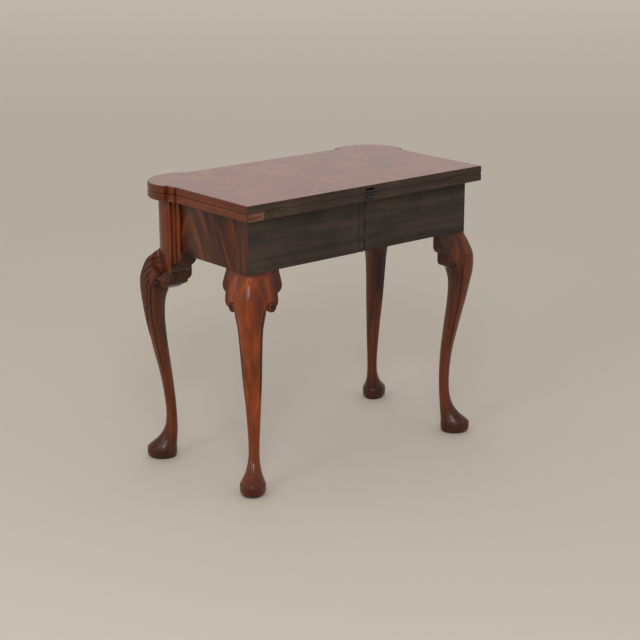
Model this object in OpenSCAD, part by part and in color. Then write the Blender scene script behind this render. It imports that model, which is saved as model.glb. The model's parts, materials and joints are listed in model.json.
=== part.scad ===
// Fold-over games table with a turret-cornered top, cabriole legs and one swinging back leg.
// X runs along the table, the hinged back edge is at +Y, Z is up and the floor is Z = 0.

/* [Whole table] */
// Height from the floor to the closed top
table_h = 720; // [680:1:760]

/* [Top] */
// Length of the top between its straight ends
top_l = 751; // [700:1:820]
// Distance of the back edge behind the middle of the table
top_back = 216; // [205:1:228]
// Distance of the straight front edge before the middle of the table
top_front = 202; // [190:1:218]
// Thickness of one leaf
leaf_t = 18.7; // [16:0.1:24]
// Gap between the two closed leaves
leaf_gap = 0.6; // [0.4:0.1:1.5]
// Thickness of the veneer on the closed top
veneer_t = 0.8; // [0.6:0.1:1.5]
// How far the rounded leaf edges draw in at the faces of a leaf
edge_inset = 2.2; // [1:0.1:4]
// Height of that rounding at each face
edge_rounding = 4.5; // [3:0.1:7]

/* [Turrets] */
// Distance of the turret centres from the middle of the table, along it
turret_x = 297.5; // [285:0.5:300]
// Distance of the turret centres before the middle of the table
turret_y = 127; // [120:0.5:135]
// Radius of the round corner of the top
top_r = 97; // [92:0.5:102]
// Radius of the round corner of the frame
frame_r = 71; // [69:0.5:74]
// How far the turret blocks hang below the frame at their points
point_drop = 54; // [40:1:70]

/* [Frame] */
// Distance of the end frieze faces from the middle of the table
end_face = 348.75; // [342:0.25:352]
// Distance of the front frieze face before the middle of the table
front_face = 178.25; // [174:0.25:182]
// Distance of the back frieze face behind the middle of the table
back_face = 185.75; // [178:0.25:190]
// Height of the frieze
frieze_h = 133; // [110:1:150]
// Thickness of the front, end and inner back rails
rail_t = 22; // [18:0.5:26]
// Width of the square posts of the back legs
post_w = 45; // [40:0.5:50]
// Width of the square posts of the front legs
front_post_w = 36; // [30:0.5:38]
// Length of the rail tenons
tenon_l = 17; // [10:0.5:20]
// Thickness of the rail tenons
tenon_t = 9; // [6:0.5:12]
// Gap below the lower leaf over the swinging leg and rail
gate_gap = 1; // [0.6:0.1:2]

/* [Knuckle] */
// Thickness of the two outer back rails, and diameter of their knuckle
fly_t = 26; // [22:1:30]
// Number of interlocking fingers
fingers = 5; // [3:2:7]
// Radius of the knuckle pin
knuckle_pin_r = 2.5; // [2:0.1:4]
// Running gap between the swinging rail and what stands beside it
run_gap = 0.4; // [0.3:0.05:0.8]

/* [Legs] */
// Turn of the front legs from the long axis of the table
front_turn = 35; // [30:1:45]
// Distance of the front leg corners outside their turrets
front_reach = 22; // [12:1:26]
// Length of the back knee brackets from the leg corner
bracket_l = 88; // [78:1:96]
// Height of the upper lobe of the knee brackets
upper_lobe_h = 52; // [44:1:58]
// Height of the knee brackets at their lower lobe
bracket_h = 86; // [78:1:92]
// How far the knee brackets swell out from the frieze
bracket_swell = 18.5; // [12:0.5:22]
// Radius of the scrolls on the knees
volute_r = 10; // [7:0.5:11]

/* [Hinges] */
// Distance of a hinge's middle from the end of the top
hinge_inset = 83.5; // [78:0.5:160]
// Length of a hinge
hinge_l = 50; // [40:1:60]
// Depth of a hinge plate in from the back edge
plate_d = 19; // [14:0.5:22]
// Thickness of a hinge plate
plate_t = 1.6; // [1.2:0.1:2]
// Radius of the hinge knuckles
barrel_r = 2.4; // [2:0.1:3]
// Radius of the hinge pins
hinge_pin_r = 1.1; // [0.8:0.1:1.3]

/* [Playing surface] */
// Width of the wooden border round the baize
baize_border = 58; // [40:1:80]
// Width of the wooden strip behind the baize, along the hinges
baize_back = 26; // [24:1:40]
// Thickness of the baize
baize_t = 0.9; // [0.6:0.1:1.5]
// Width of the register tongue between the leaves
tongue_w = 26; // [16:1:40]
// Distance of the register tongue from the middle of the table
tongue_x = 3; // [-20:1:20]

/* [Hidden] */
$fn = 96;

walnut = "saddlebrown";
dark_walnut = "#3b2f28";
pine = "burlywood";
brass = "darkgoldenrod";

// Heights of the layers, from the top down
joint_z = table_h - leaf_t - leaf_gap / 2;
leaf_top_z = joint_z - leaf_gap / 2;
frame_top = table_h - 2 * leaf_t - leaf_gap;
frame_bottom = frame_top - frieze_h;
gate_top = frame_top - gate_gap;

// The hinge axis lies on the joint, just behind the back edges
edge_gap = 0.25;
hinge_x = top_l / 2 - hinge_inset;
hinge_y = top_back + edge_gap;

// Small clearances and cutting allowances
slip = 0.05;
eps = 0.01;
past = 1;

// Steps between the straight edges and the round corners, measured from the turret centre
top_step_faces = [82.5, 87];
top_step_starts = [60.5, 47];
top_arc_start = 32;
// Share of the edge rounding's height, and of its inset, at each of its steps
edge_steps = [[0, 1], [0.25, 0.45], [0.55, 0.15]];
frame_arc_start = 20.2;
strip_faces = [62.5, 57];
strip_ends = [31.4, 43];
end_offset = end_face - turret_x;
front_offset = front_face - turret_y;
front_post_in = 5;

// Knuckle of the fly rails
knuckle_y = back_face - fly_t / 2;
knuckle_r = fly_t / 2;
inner_y = back_face - fly_t - rail_t;
finger_h = (frame_top - frame_bottom) / fingers;

// Leg corner points: the back ones are the frame's own corners
front_corner_r = frame_r + front_reach;
front_corner = [
    turret_x + front_corner_r * cos(front_turn),
    -turret_y - front_corner_r * sin(front_turn)
];
back_corner = [end_face, back_face];

// Stations of a cabriole leg: height as a share of the frame's bottom height,
// then distance of the centre from the corner, half depth, half width and squareness
knee_back = [
    [1.000, -31.8, 31.8, 31.8, 1.08], [0.985, -30, 32, 33, 1.10], [0.942, -24, 38, 38, 1.25],
    [0.889, -15.5, 40.5, 41, 1.35]
];
knee_front = [
    [1.000, -52, 32, 30, 1.30], [0.985, -44, 34, 33, 1.30], [0.955, -28, 38, 37, 1.30],
    [0.922, -20, 40, 40, 1.35], [0.875, -13, 40, 41, 1.40]
];
shank = [
    [0.820, -10.5, 36, 36.5, 1.45], [0.758, -9.6, 29, 30.6, 1.50], [0.661, -16, 24, 27, 1.55],
    [0.536, -28, 19.6, 23.8, 1.65], [0.408, -39, 15.6, 19.4, 1.80], [0.300, -43.2, 13.8, 16, 1.95],
    [0.215, -42.8, 13.5, 13.7, 2], [0.149, -38, 16, 14, 2], [0.100, -28.5, 23.5, 18.5, 2],
    [0.072, -19, 31.5, 25, 2]
];
foot = [
    [0.056, -13.5, 36.3, 30, 2], [0.050, -12.7, 37.6, 31.3, 2], [0.040, -12.5, 37.9, 31.6, 2],
    [0.018, -12.5, 37.4, 31, 2], [0.008, -13.5, 35, 28.5, 2], [0.000, -15, 31, 25, 2]
];
// The front legs stand further out at mid height: by how much, from and over which share of the height
front_lean = 12;
lean_from = 0.13;
lean_over = 0.77;
leg_sides = 24;
ring_steps = 2;

// Knee brackets, measured along the rail from the leg corner and outwards from the frieze face
bracket_near = 34;
bracket_in = 22;
lobe_step = 16;
upper_lobe_r = 21;
lower_lobe_r = 15;
toe_drop = 14;
swell_depth = 78;
volute_drop = 82;
volute_proud = 3.5;
volute_root = 12;
front_volute_l = 24;
knee_base = 0.7;
back_volute_s = 52;
end_volute_s = 44;

// The front brackets stand out with their turrets and follow the turned leg
front_bracket_out = 9.5;
front_bracket_in = 42;
front_bracket_end = 37;
front_swell = 36;
volute_back = -13;
volute_side = 51;

// Fasteners
screw_r = 1.4;
screw_head_r = 2.6;
screw_head_h = 1.4;
hinge_screw_l = 11;
hinge_screw_step = hinge_l / 3;
hinge_screw_in = 11.5;
groove_gap = 0.5;
knuckle_gap = 0.3;
wood_screw_r = 2;
wood_screw_head_r = 4;
wood_screw_head_h = 2.2;
top_screw_bite = 11;
fly_screw_bite = 15;
block_w = 22;
block_l = 60;
corner_block_h = 110;

// Lower edge of the turret aprons: along from the turret centre, and height above the frame's bottom
apron_edge = [
    [-47, 0], [-38, -18], [-23, -39], [-10, -49], [11, -point_drop], [frame_arc_start, -point_drop],
    [frame_arc_start, -30], [33, -24], [strip_ends[1], -11], [strip_ends[1], 0]
];

// Height band and mortises shared by the rail tenons
tenon_edge = 14;
tenon_z0 = frame_bottom + tenon_edge;
tenon_z1 = frame_top - tenon_edge;

// Register tongue: radii of its curved end about the hinge axis, its turn and its root in the leaf
tongue_in = 7.4;
tongue_out = 11.8;
tongue_turn = 42;
tongue_root = 13;
mortise_gap = 0.5;
mortise_turn = 56;

// Bare strip in the back edge
patch_l = 47;
patch_d = 4;

// Fly rails
fixed_fingers = [for (i = [0 : 2 : fingers - 1]) i];
swing_fingers = [for (i = [1 : 2 : fingers - 1]) i];
fly_length = end_face - post_w;
fly_screw_x = [60, 160, 260];
fly_screw_edge = 35;
fly_screw_z = [frame_bottom + fly_screw_edge, frame_top - fly_screw_edge];

// Blocks inside the carcass: middles of those that hold the top, along the front, back and end rails
corner_block_w = 30;
front_block_y = -front_face + veneer_t + rail_t + block_w / 2;
back_block_y = back_face - fly_t - rail_t - block_w / 2;
end_block_x = end_face - veneer_t - rail_t - block_w / 2;
top_block_places = [
    [-180, front_block_y, 0], [0, front_block_y, 0], [180, front_block_y, 0],
    [-180, back_block_y, 0], [180, back_block_y, 0],
    [-end_block_x, 0, 90], [end_block_x, 0, 90]
];

// Cuts a flat shape into a solid between two heights
module layer(z0, z1) {
    translate([0, 0, z0]) linear_extrude(z1 - z0) children();
}

// Box between two corners
module span(a, b) {
    translate(a) cube(b - a);
}

module both_ends() {
    children();
    mirror([1, 0, 0]) children();
}

// Round corner of the top seen from above, all its edges moved in by g
module top_turret_plan(g) {
    intersection() {
        circle(top_r - g);
        translate([-(top_arc_start - g), -2 * top_r]) square([4 * top_r, 2 * top_r + top_arc_start - g]);
    }
    for (i = [0, 1]) {
        square([top_step_faces[i] - g, top_step_starts[i] - g]);
        translate([-(top_step_starts[i] - g), -(top_step_faces[i] - g)])
            square([top_step_starts[i] - g, top_step_faces[i] - g]);
    }
}

// Outline of a leaf, its front and end edges moved in by g
module leaf_plan(g = 0) {
    translate([-top_l / 2 + g, -top_front + g]) square([top_l - 2 * g, top_front - g + top_back]);
    both_ends() translate([turret_x, -turret_y]) top_turret_plan(g);
}

// A leaf between two heights, its moulded edges rounded towards both faces in steps
module moulded_leaf(z0, z1) {
    layer(z0 + edge_rounding, z1 - edge_rounding) leaf_plan();
    for (step = edge_steps) {
        rise = step[0] * edge_rounding;
        layer(z0 + rise, z1 - rise) leaf_plan(step[1] * edge_inset);
    }
}

// Playing area of a leaf, its front and ends drawn in from the wooden border by g
module baize_plan(g = 0) {
    side = top_l / 2 - baize_border - g;
    translate([-side, -top_front + baize_border + g])
        square([2 * side, top_front + top_back - baize_border - baize_back - 2 * g]);
}

// Grooves, plate beds and screw holes at the back edge: up is 1 for the upper leaf and -1 for the lower
module hinge_cuts(up) {
    for (s = [-1, 1]) {
        translate([s * hinge_x, hinge_y, joint_z]) {
            rotate([0, 90, 0])
                cylinder(r = barrel_r + groove_gap, h = hinge_l + 2 * groove_gap, center = true);
            plate_box(up, -edge_gap - plate_d, past, plate_t + leaf_gap);
        }
        hinge_screw_places(s, up) cylinder(r = screw_r, h = hinge_screw_l);
    }
}

// Box along a hinge between two distances from its axis, upwards or downwards from a leaf's face
module plate_box(up, y0, y1, thick) {
    face = up * leaf_gap / 2;
    far = face + up * plate_t;
    near = far - up * thick;
    span([-hinge_l / 2, y0, min(near, far)], [hinge_l / 2, y1, max(near, far)]);
}

// Three screws along one hinge plate, each along its own axis into the leaf
module hinge_screw_places(s, up) {
    for (i = [-1, 0, 1])
        translate([s * hinge_x + i * hinge_screw_step, top_back - hinge_screw_in, joint_z])
            translate([0, 0, up * leaf_gap / 2]) rotate([up > 0 ? 0 : 180, 0, 0]) children();
}

// Curved part of the register tongue, round the hinge axis
module tongue_arc(inner, outer, width, turn) {
    reach = 2 * outer;
    translate([tongue_x, hinge_y, joint_z]) rotate([0, 90, 0]) intersection() {
        difference() {
            cylinder(r = outer, h = width, center = true);
            cylinder(r = inner, h = width + past, center = true);
        }
        linear_extrude(width + 2 * past, center = true)
            polygon([
                [0, 0], [reach, -past / 2], [reach, reach * sin(turn)], [reach * cos(turn), reach * sin(turn)]
            ]);
    }
}

module lower_leaf() {
    color(walnut) difference() {
        moulded_leaf(frame_top, leaf_top_z);
        layer(leaf_top_z - baize_t, leaf_top_z + past) baize_plan();
        hinge_cuts(-1);
        span([tongue_x - tongue_w / 2, top_back - tongue_root, joint_z - tongue_out],
            [tongue_x + tongue_w / 2, top_back + past, joint_z - tongue_in]);
        edge_patch_shape();
        top_screw_places() cylinder(r = wood_screw_r, h = block_w + top_screw_bite);
    }
}

module upper_leaf() {
    color(walnut) difference() {
        moulded_leaf(joint_z + leaf_gap / 2, table_h - veneer_t);
        layer(joint_z - past, joint_z + leaf_gap / 2 + baize_t) baize_plan();
        hinge_cuts(1);
        // mortise that the tongue enters as the leaf comes down
        mirror_at_joint() tongue_arc(
            tongue_in - mortise_gap, tongue_out + mortise_gap, tongue_w + 2 * mortise_gap, mortise_turn
        );
    }
}

// The upper leaf's own place for what mates with the lower leaf once it is open
module mirror_at_joint() {
    translate([0, hinge_y, joint_z]) rotate([180, 0, 0]) translate([0, -hinge_y, -joint_z]) children();
}

module top_veneer() {
    color("peru") layer(table_h - veneer_t, table_h) leaf_plan(edge_inset);
}

module baize_lower() {
    color("darkolivegreen") layer(leaf_top_z - baize_t, leaf_top_z) baize_plan(0.3);
}

module baize_upper() {
    color("darkolivegreen") layer(joint_z + leaf_gap / 2, joint_z + leaf_gap / 2 + baize_t) baize_plan(0.3);
}

module register_tongue() {
    color(dark_walnut) {
        span([tongue_x - tongue_w / 2, top_back - tongue_root, joint_z - tongue_out],
            [tongue_x + tongue_w / 2, hinge_y + eps, joint_z - tongue_in]);
        tongue_arc(tongue_in, tongue_out, tongue_w, tongue_turn);
    }
}

module edge_patch_shape() {
    span([top_l / 2 - edge_inset - patch_l, top_back - patch_d, frame_top],
        [top_l / 2 - edge_inset, top_back, leaf_top_z]);
}

// Bare strip let into the lower leaf's back edge at the right end
module edge_patch() {
    color("indianred") edge_patch_shape();
}

// One plate of a hinge with its knuckles: up is 1 for the upper plate and -1 for the lower
module hinge_half(s, up) {
    third = hinge_l / 3;
    places = up > 0 ? [0] : [-1, 1];
    color(brass) difference() {
        translate([s * hinge_x, hinge_y, joint_z]) {
            plate_box(up, -edge_gap - plate_d, -barrel_r - groove_gap, plate_t);
            for (i = places) translate([i * third, 0, 0]) {
                rotate([0, 90, 0]) cylinder(r = barrel_r, h = third - knuckle_gap, center = true);
                intersection() {
                    plate_box(up, -barrel_r - past, 0, plate_t);
                    cube([third - knuckle_gap, 4 * barrel_r, 4 * barrel_r], center = true);
                }
            }
        }
        translate([s * hinge_x, hinge_y, joint_z]) rotate([0, 90, 0])
            cylinder(r = hinge_pin_r + slip, h = hinge_l + past, center = true);
        hinge_screw_places(s, up) {
            translate([0, 0, -past]) cylinder(r = screw_r + slip, h = plate_t + 2 * past);
            cylinder(r1 = screw_head_r, r2 = screw_r + slip, h = screw_head_h);
        }
    }
}

module hinge_lower_right() { hinge_half(1, -1); }
module hinge_lower_left() { hinge_half(-1, -1); }
module hinge_upper_right() { hinge_half(1, 1); }
module hinge_upper_left() { hinge_half(-1, 1); }

module hinge_pin(s) {
    color(brass) translate([s * hinge_x, hinge_y, joint_z]) rotate([0, 90, 0])
        cylinder(r = hinge_pin_r, h = hinge_l, center = true);
}

module hinge_pin_right() { hinge_pin(1); }
module hinge_pin_left() { hinge_pin(-1); }

module hinge_screws(up) {
    color(brass) for (s = [-1, 1]) hinge_screw_places(s, up) {
        cylinder(r1 = screw_head_r - slip, r2 = screw_r, h = screw_head_h);
        cylinder(r = screw_r, h = hinge_screw_l);
    }
}

module hinge_screws_lower() { hinge_screws(-1); }
module hinge_screws_upper() { hinge_screws(1); }

module front_rail() {
    side = turret_x - frame_arc_start;
    y0 = -front_face + veneer_t;
    mid = y0 + rail_t / 2;
    color(pine) {
        span([-side, y0, frame_bottom], [side, y0 + rail_t, frame_top]);
        span([-side - tenon_l, mid - tenon_t / 2, tenon_z0], [side + tenon_l, mid + tenon_t / 2, tenon_z1]);
    }
}

// The right end rail is tenoned into the turret block and into the fixed back leg
module end_rail_shape(back_end, back_tenon) {
    y0 = -turret_y + frame_arc_start;
    x1 = end_face - veneer_t;
    mid = x1 - rail_t / 2;
    span([x1 - rail_t, y0, frame_bottom], [x1, back_end, frame_top]);
    span([mid - tenon_t / 2, y0 - tenon_l, tenon_z0], [mid + tenon_t / 2, back_end + back_tenon, tenon_z1]);
}

module end_rail_right() {
    color(pine) end_rail_shape(back_face - post_w, tenon_l);
}

// The left one stops short of the swinging leg
module end_rail_left() {
    color(pine) mirror([1, 0, 0]) end_rail_shape(back_face - post_w - run_gap, 0);
}

// The inner back rail is hollowed a little where the knuckle turns
module inner_back_rail() {
    color(pine) difference() {
        span([-end_face + post_w + run_gap, inner_y, frame_bottom],
            [end_face - post_w, inner_y + rail_t, frame_top]);
        translate([0, knuckle_y, frame_bottom - past])
            cylinder(r = knuckle_r + run_gap, h = frieze_h + 2 * past);
        fly_screw_places() fly_screw_hole(rail_t);
    }
}

// Plan of a rail end at the knuckle, the rail running towards +X from the pin
module rail_end_plan(length, inner_gap) {
    difference() {
        translate([0, -knuckle_r + inner_gap]) square([length, fly_t - inner_gap]);
        polygon([[-past, -past], [fly_t, fly_t - run_gap], [-past, fly_t]]);
    }
}

// A fly rail from the pin outwards; own lists the fingers that it keeps
module fly_rail(length, top, own, inner_gap) {
    translate([0, knuckle_y, 0]) difference() {
        for (i = [0 : fingers - 1]) {
            kept = len([for (k = own) if (k == i) k]) > 0;
            z0 = frame_bottom + i * finger_h + (i == 0 ? 0 : run_gap / 2);
            z1 = i == fingers - 1 ? top : frame_bottom + (i + 1) * finger_h - run_gap / 2;
            layer(z0, z1) difference() {
                union() {
                    rail_end_plan(length, inner_gap);
                    if (kept) circle(knuckle_r);
                }
                if (!kept) circle(knuckle_r + run_gap);
                if (kept) circle(knuckle_pin_r + slip);
            }
        }
    }
    // the rail is one piece behind its fingers
    translate([0, knuckle_y, 0])
        span([fly_t, -knuckle_r + inner_gap, frame_bottom], [length, knuckle_r, top]);
    span([length - eps, knuckle_y - tenon_t / 2, tenon_z0],
        [length + tenon_l, knuckle_y + tenon_t / 2, tenon_z1]);
}

module fixed_fly_rail() {
    color(dark_walnut) difference() {
        fly_rail(fly_length, frame_top, fixed_fingers, 0);
        fly_screw_places() cylinder(r = wood_screw_r, h = rail_t + fly_screw_bite);
    }
}

module swing_fly_rail() {
    color(dark_walnut) mirror([1, 0, 0]) fly_rail(fly_length, gate_top, swing_fingers, run_gap);
}

module knuckle_pin() {
    color("dimgray") translate([0, knuckle_y, frame_bottom + past])
        cylinder(r = knuckle_pin_r, h = gate_top - frame_bottom - 2 * past);
}

module front_veneer() {
    side = turret_x - strip_ends[1];
    color(walnut) span([-side, -front_face, frame_bottom], [side, -front_face + veneer_t, frame_top]);
}

module end_veneer_shape(back_end) {
    span([end_face - veneer_t, -turret_y + strip_ends[1], frame_bottom], [end_face, back_end, frame_top]);
}

module end_veneer_right() {
    color(walnut) end_veneer_shape(back_face - post_w);
}

module end_veneer_left() {
    color(walnut) mirror([1, 0, 0]) end_veneer_shape(back_face - post_w - run_gap);
}

// Plan of the round turret block about its centre, without the stepped strips
module turret_plan(r) {
    intersection() {
        circle(r);
        translate([-frame_arc_start, -2 * r]) square([3 * r, 2 * r + frame_arc_start]);
    }
}

// The apron outline carried outwards from the end frieze and from the front frieze
module end_apron(reach) {
    translate([end_face - veneer_t, -turret_y, frame_bottom]) rotate([90, 0, 90])
        linear_extrude(reach) polygon(apron_edge);
}

module front_apron(reach) {
    translate([turret_x, -front_face + veneer_t, frame_bottom]) mirror([1, 0, 0]) rotate([90, 0, 0])
        linear_extrude(reach) polygon(apron_edge);
}

// The two points that hang from a turret block, on its end side and on its front side
module hanging_points() {
    intersection() {
        translate([turret_x, -turret_y, 0])
            layer(frame_bottom - point_drop, frame_bottom) turret_plan(frame_r);
        union() {
            end_apron(frame_r);
            front_apron(frame_r);
        }
    }
}

// Room that the legs and brackets leave round the aprons
module apron_room() {
    end_apron(2 * frame_r);
    front_apron(2 * frame_r);
}

// Square post at the top of a front leg, inside the round block
module front_post(extra = 0) {
    x1 = turret_x + end_offset - front_post_in;
    y0 = -turret_y - front_offset + front_post_in;
    span([x1 - front_post_w, y0, frame_bottom - eps - extra], [x1, y0 + front_post_w, frame_top + extra]);
}

module turret_block() {
    color(walnut) difference() {
        union() {
            translate([turret_x, -turret_y, 0]) layer(frame_bottom, frame_top) turret_plan(frame_r);
            hanging_points();
        }
        front_post(past);
        end_rail_tenon_hole();
        front_rail_tenon_hole();
    }
}

module end_rail_tenon_hole() {
    mid = end_face - veneer_t - rail_t / 2;
    y0 = -turret_y + frame_arc_start;
    span([mid - tenon_t / 2, y0 - tenon_l, tenon_z0], [mid + tenon_t / 2, y0 + past, tenon_z1]);
}

module front_rail_tenon_hole() {
    mid = -front_face + veneer_t + rail_t / 2;
    x0 = turret_x - frame_arc_start;
    span([x0 - past, mid - tenon_t / 2, tenon_z0], [x0 + tenon_l, mid + tenon_t / 2, tenon_z1]);
}

module turret_block_right() { turret_block(); }
module turret_block_left() { mirror([1, 0, 0]) turret_block(); }

// One layer of a stepped strip in elevation, X along from the turret centre and Y up from the frame's bottom
module strip_layer(end, depth) {
    linear_extrude(depth) intersection() {
        union() {
            polygon(apron_edge);
            translate([frame_arc_start, -past]) square([strip_ends[1] - frame_arc_start, frieze_h + past]);
        }
        translate([frame_arc_start, -2 * point_drop])
            square([end - frame_arc_start, frieze_h + 2 * point_drop]);
    }
}

// Stepped strips between the round block and the friezes, cut to the apron's edge below
module strip_end() {
    back = end_face - veneer_t;
    color(walnut) translate([back, -turret_y, frame_bottom]) rotate([90, 0, 90])
        for (i = [0, 1]) strip_layer(strip_ends[i], turret_x + strip_faces[i] - back);
}

module strip_front() {
    back = front_face - veneer_t;
    color(walnut) translate([turret_x, -back, frame_bottom]) mirror([1, 0, 0]) rotate([90, 0, 0])
        for (i = [0, 1]) strip_layer(strip_ends[i], turret_y + strip_faces[i] - back);
}

module strip_right_end() { strip_end(); }
module strip_right_front() { strip_front(); }
module strip_left_end() { mirror([1, 0, 0]) strip_end(); }
module strip_left_front() { mirror([1, 0, 0]) strip_front(); }

// Smooth curve through four stations, t from 0 to 1 between the middle two
function blend(a, b, c, d, t) =
    0.5 * (2 * b + (c - a) * t + (2 * a - 5 * b + 4 * c - d) * t * t + (3 * b - a - 3 * c + d) * t * t * t);

function sweep_rings(s) = [
    for (i = [0 : len(s) - 2]) for (k = [0 : ring_steps - 1])
        blend(s[max(i - 1, 0)], s[i], s[i + 1], s[min(i + 2, len(s) - 1)], k / ring_steps),
    s[len(s) - 1]
];

function power(v, e) = sign(v) * pow(abs(v), e);

// One ring of a leg: x is outwards from the corner, y is across
function ring_points(r, grow) = [
    for (k = [0 : leg_sides - 1]) let (a = 360 * k / leg_sides) [
        r[1] + (r[2] + grow) * power(cos(a), 2 / r[4]),
        (r[3] + grow) * power(sin(a), 2 / r[4]),
        r[0] * frame_bottom
    ]
];

// Closed skin over a list of rings, from the top ring down
module skin(rings, grow = 0) {
    n = leg_sides;
    last = len(rings) - 1;
    points = [for (r = rings) each ring_points(r, grow)];
    sides = [
        for (i = [0 : last - 1]) for (k = [0 : n - 1]) let (m = (k + 1) % n) each [
            [i * n + k, i * n + m, (i + 1) * n + m],
            [i * n + k, (i + 1) * n + m, (i + 1) * n + k]
        ]
    ];
    caps = [
        [for (k = [n - 1 : -1 : 0]) k],
        [for (k = [0 : n - 1]) last * n + k]
    ];
    polyhedron(points, concat(sides, caps), convexity = 4);
}

function lean(p) = front_lean * max(0, sin(180 * min((p - lean_from) / lean_over, 1)));

function leaned(r) = [r[0], r[1] + lean(r[0]), r[2], r[3], r[4]];

back_rings = sweep_rings(concat(knee_back, shank, foot));
front_rings = sweep_rings([for (r = concat(knee_front, shank, foot)) leaned(r)]);

module at_back_corner() {
    translate([back_corner[0], back_corner[1], 0]) rotate([0, 0, 45]) children();
}

module at_front_corner() {
    translate([front_corner[0], front_corner[1], 0]) rotate([0, 0, -front_turn]) children();
}

module back_post(top) {
    span([end_face - post_w, back_face - post_w, frame_bottom - eps], [end_face, back_face, top]);
}

module back_leg(top, end_mortise) {
    color(walnut) {
        at_back_corner() skin(back_rings);
        difference() {
            back_post(top);
            span([fly_length - past, knuckle_y - tenon_t / 2, tenon_z0],
                [fly_length + tenon_l, knuckle_y + tenon_t / 2, tenon_z1]);
            if (end_mortise) {
                mid = end_face - veneer_t - rail_t / 2;
                span([mid - tenon_t / 2, back_face - post_w - past, tenon_z0],
                    [mid + tenon_t / 2, back_face - post_w + tenon_l, tenon_z1]);
            }
        }
    }
}

module back_leg_right() { back_leg(frame_top, true); }
module swing_leg() { mirror([1, 0, 0]) back_leg(gate_top, false); }

module front_leg() {
    color(walnut) difference() {
        union() {
            at_front_corner() skin(front_rings);
            front_post();
        }
        apron_room();
    }
}

module front_leg_right() { front_leg(); }
module front_leg_left() { mirror([1, 0, 0]) front_leg(); }

// Outline of a knee bracket seen from its face: X along the rail, Y up to the frame
module bracket_outline(tip) {
    lower_tip = tip - lobe_step;
    toe_x = lower_tip - lower_lobe_r;
    translate([bracket_near, -upper_lobe_h + upper_lobe_r])
        square([tip - bracket_near, upper_lobe_h - upper_lobe_r]);
    translate([bracket_near, -upper_lobe_h]) square([tip - upper_lobe_r - bracket_near, upper_lobe_h]);
    translate([tip - upper_lobe_r, -upper_lobe_h + upper_lobe_r]) circle(upper_lobe_r);
    translate([bracket_near, -bracket_h + lower_lobe_r])
        square([lower_tip - bracket_near, bracket_h - lower_lobe_r - upper_lobe_h / 2]);
    translate([toe_x, -bracket_h + lower_lobe_r]) circle(lower_lobe_r);
    polygon([[bracket_near, 0], [bracket_near, -bracket_h - toe_drop], [toe_x, -bracket_h], [toe_x, 0]]);
}

// Section of a knee bracket: X outwards from the frieze face, Y up to the frame
module bracket_section(inner, swell) {
    arc_r = (swell * swell + swell_depth * swell_depth) / (2 * swell);
    low = bracket_h + toe_drop + past;
    intersection() {
        translate([-inner, -low]) square([inner + swell, low]);
        translate([swell - arc_r, -swell_depth]) circle(arc_r, $fn = 360);
    }
}

// A knee bracket: X runs along the rail from the corner, Y is outwards from the frieze face
module bracket_body(tip, inner, swell, drop = 0) {
    intersection() {
        translate([0, 0, frame_bottom]) rotate([90, 0, 0])
            linear_extrude(2 * (inner + swell), center = true) bracket_outline(tip);
        translate([0, 0, frame_bottom]) rotate([90, 0, 90])
            linear_extrude(tip + past) bracket_section(inner, swell);
        layer(0, frame_bottom - drop) square(4 * tip, center = true);
    }
}

module bracket_volute(s) {
    translate([s, bracket_swell - volute_root, frame_bottom - volute_drop]) rotate([-90, 0, 0])
        cylinder(r = volute_r, h = volute_root + volute_proud);
}

// Rings of the part of a leg that the brackets are fitted against
function knee_part(rings) = [for (r = rings) if (r[0] > knee_base) r];

module back_bracket_back() {
    color(walnut) difference() {
        translate([end_face, back_face, 0]) mirror([1, 0, 0]) {
            bracket_body(bracket_l, bracket_in, bracket_swell);
            bracket_volute(back_volute_s);
        }
        at_back_corner() skin(knee_part(back_rings), slip);
    }
}

module back_bracket_end(drop) {
    color(walnut) difference() {
        translate([end_face, back_face, 0]) rotate([0, 0, -90]) {
            bracket_body(bracket_l, bracket_in, bracket_swell, drop);
            bracket_volute(end_volute_s);
        }
        at_back_corner() skin(knee_part(back_rings), slip);
    }
}

module bracket_back_right_end() { back_bracket_end(0); }
module bracket_back_right_back() { back_bracket_back(); }
module bracket_swing_end() { mirror([1, 0, 0]) back_bracket_end(run_gap); }
module bracket_swing_back() { mirror([1, 0, 0]) back_bracket_back(); }

// Place in plan of a point measured from a front leg's corner, outwards and across
function front_point(d, w) = [
    front_corner[0] + d * cos(front_turn) + w * sin(front_turn),
    front_corner[1] - d * sin(front_turn) + w * cos(front_turn)
];

module front_volute_roll(side) {
    c = front_point(volute_back, side * volute_side);
    translate([c[0], c[1], frame_bottom - volute_drop]) rotate([0, 0, side * 90 - front_turn])
        rotate([0, 90, 0]) translate([0, 0, -front_volute_l]) cylinder(r = volute_r, h = front_volute_l);
}

// Room left to the other bracket of the same leg, past the diagonal that they share inside it
module other_bracket_room(side) {
    size = 4 * bracket_l;
    at_front_corner() layer(0, frame_bottom + past)
        translate([-size / 2, side > 0 ? slip - size : -slip]) square(size);
}

module front_bracket_at_end() {
    base = end_face + front_bracket_out;
    inside = base - 2 * front_bracket_in;
    stop = -turret_y + front_bracket_end;
    color(walnut) difference() {
        union() {
            intersection() {
                translate([base, front_corner[1], 0]) mirror([1, 0, 0]) rotate([0, 0, 90])
                    bracket_body(stop - front_corner[1], front_bracket_in, front_swell);
                layer(0, frame_bottom) polygon([
                    [inside, front_corner[1]], [inside, stop], [base + bracket_swell, stop],
                    [base + bracket_swell, stop - lobe_step], front_point(volute_back, volute_side),
                    front_point(volute_back, volute_side / 2)
                ]);
            }
            front_volute_roll(1);
        }
        at_front_corner() skin(knee_part(front_rings), slip);
        apron_room();
        other_bracket_room(1);
    }
}

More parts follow.
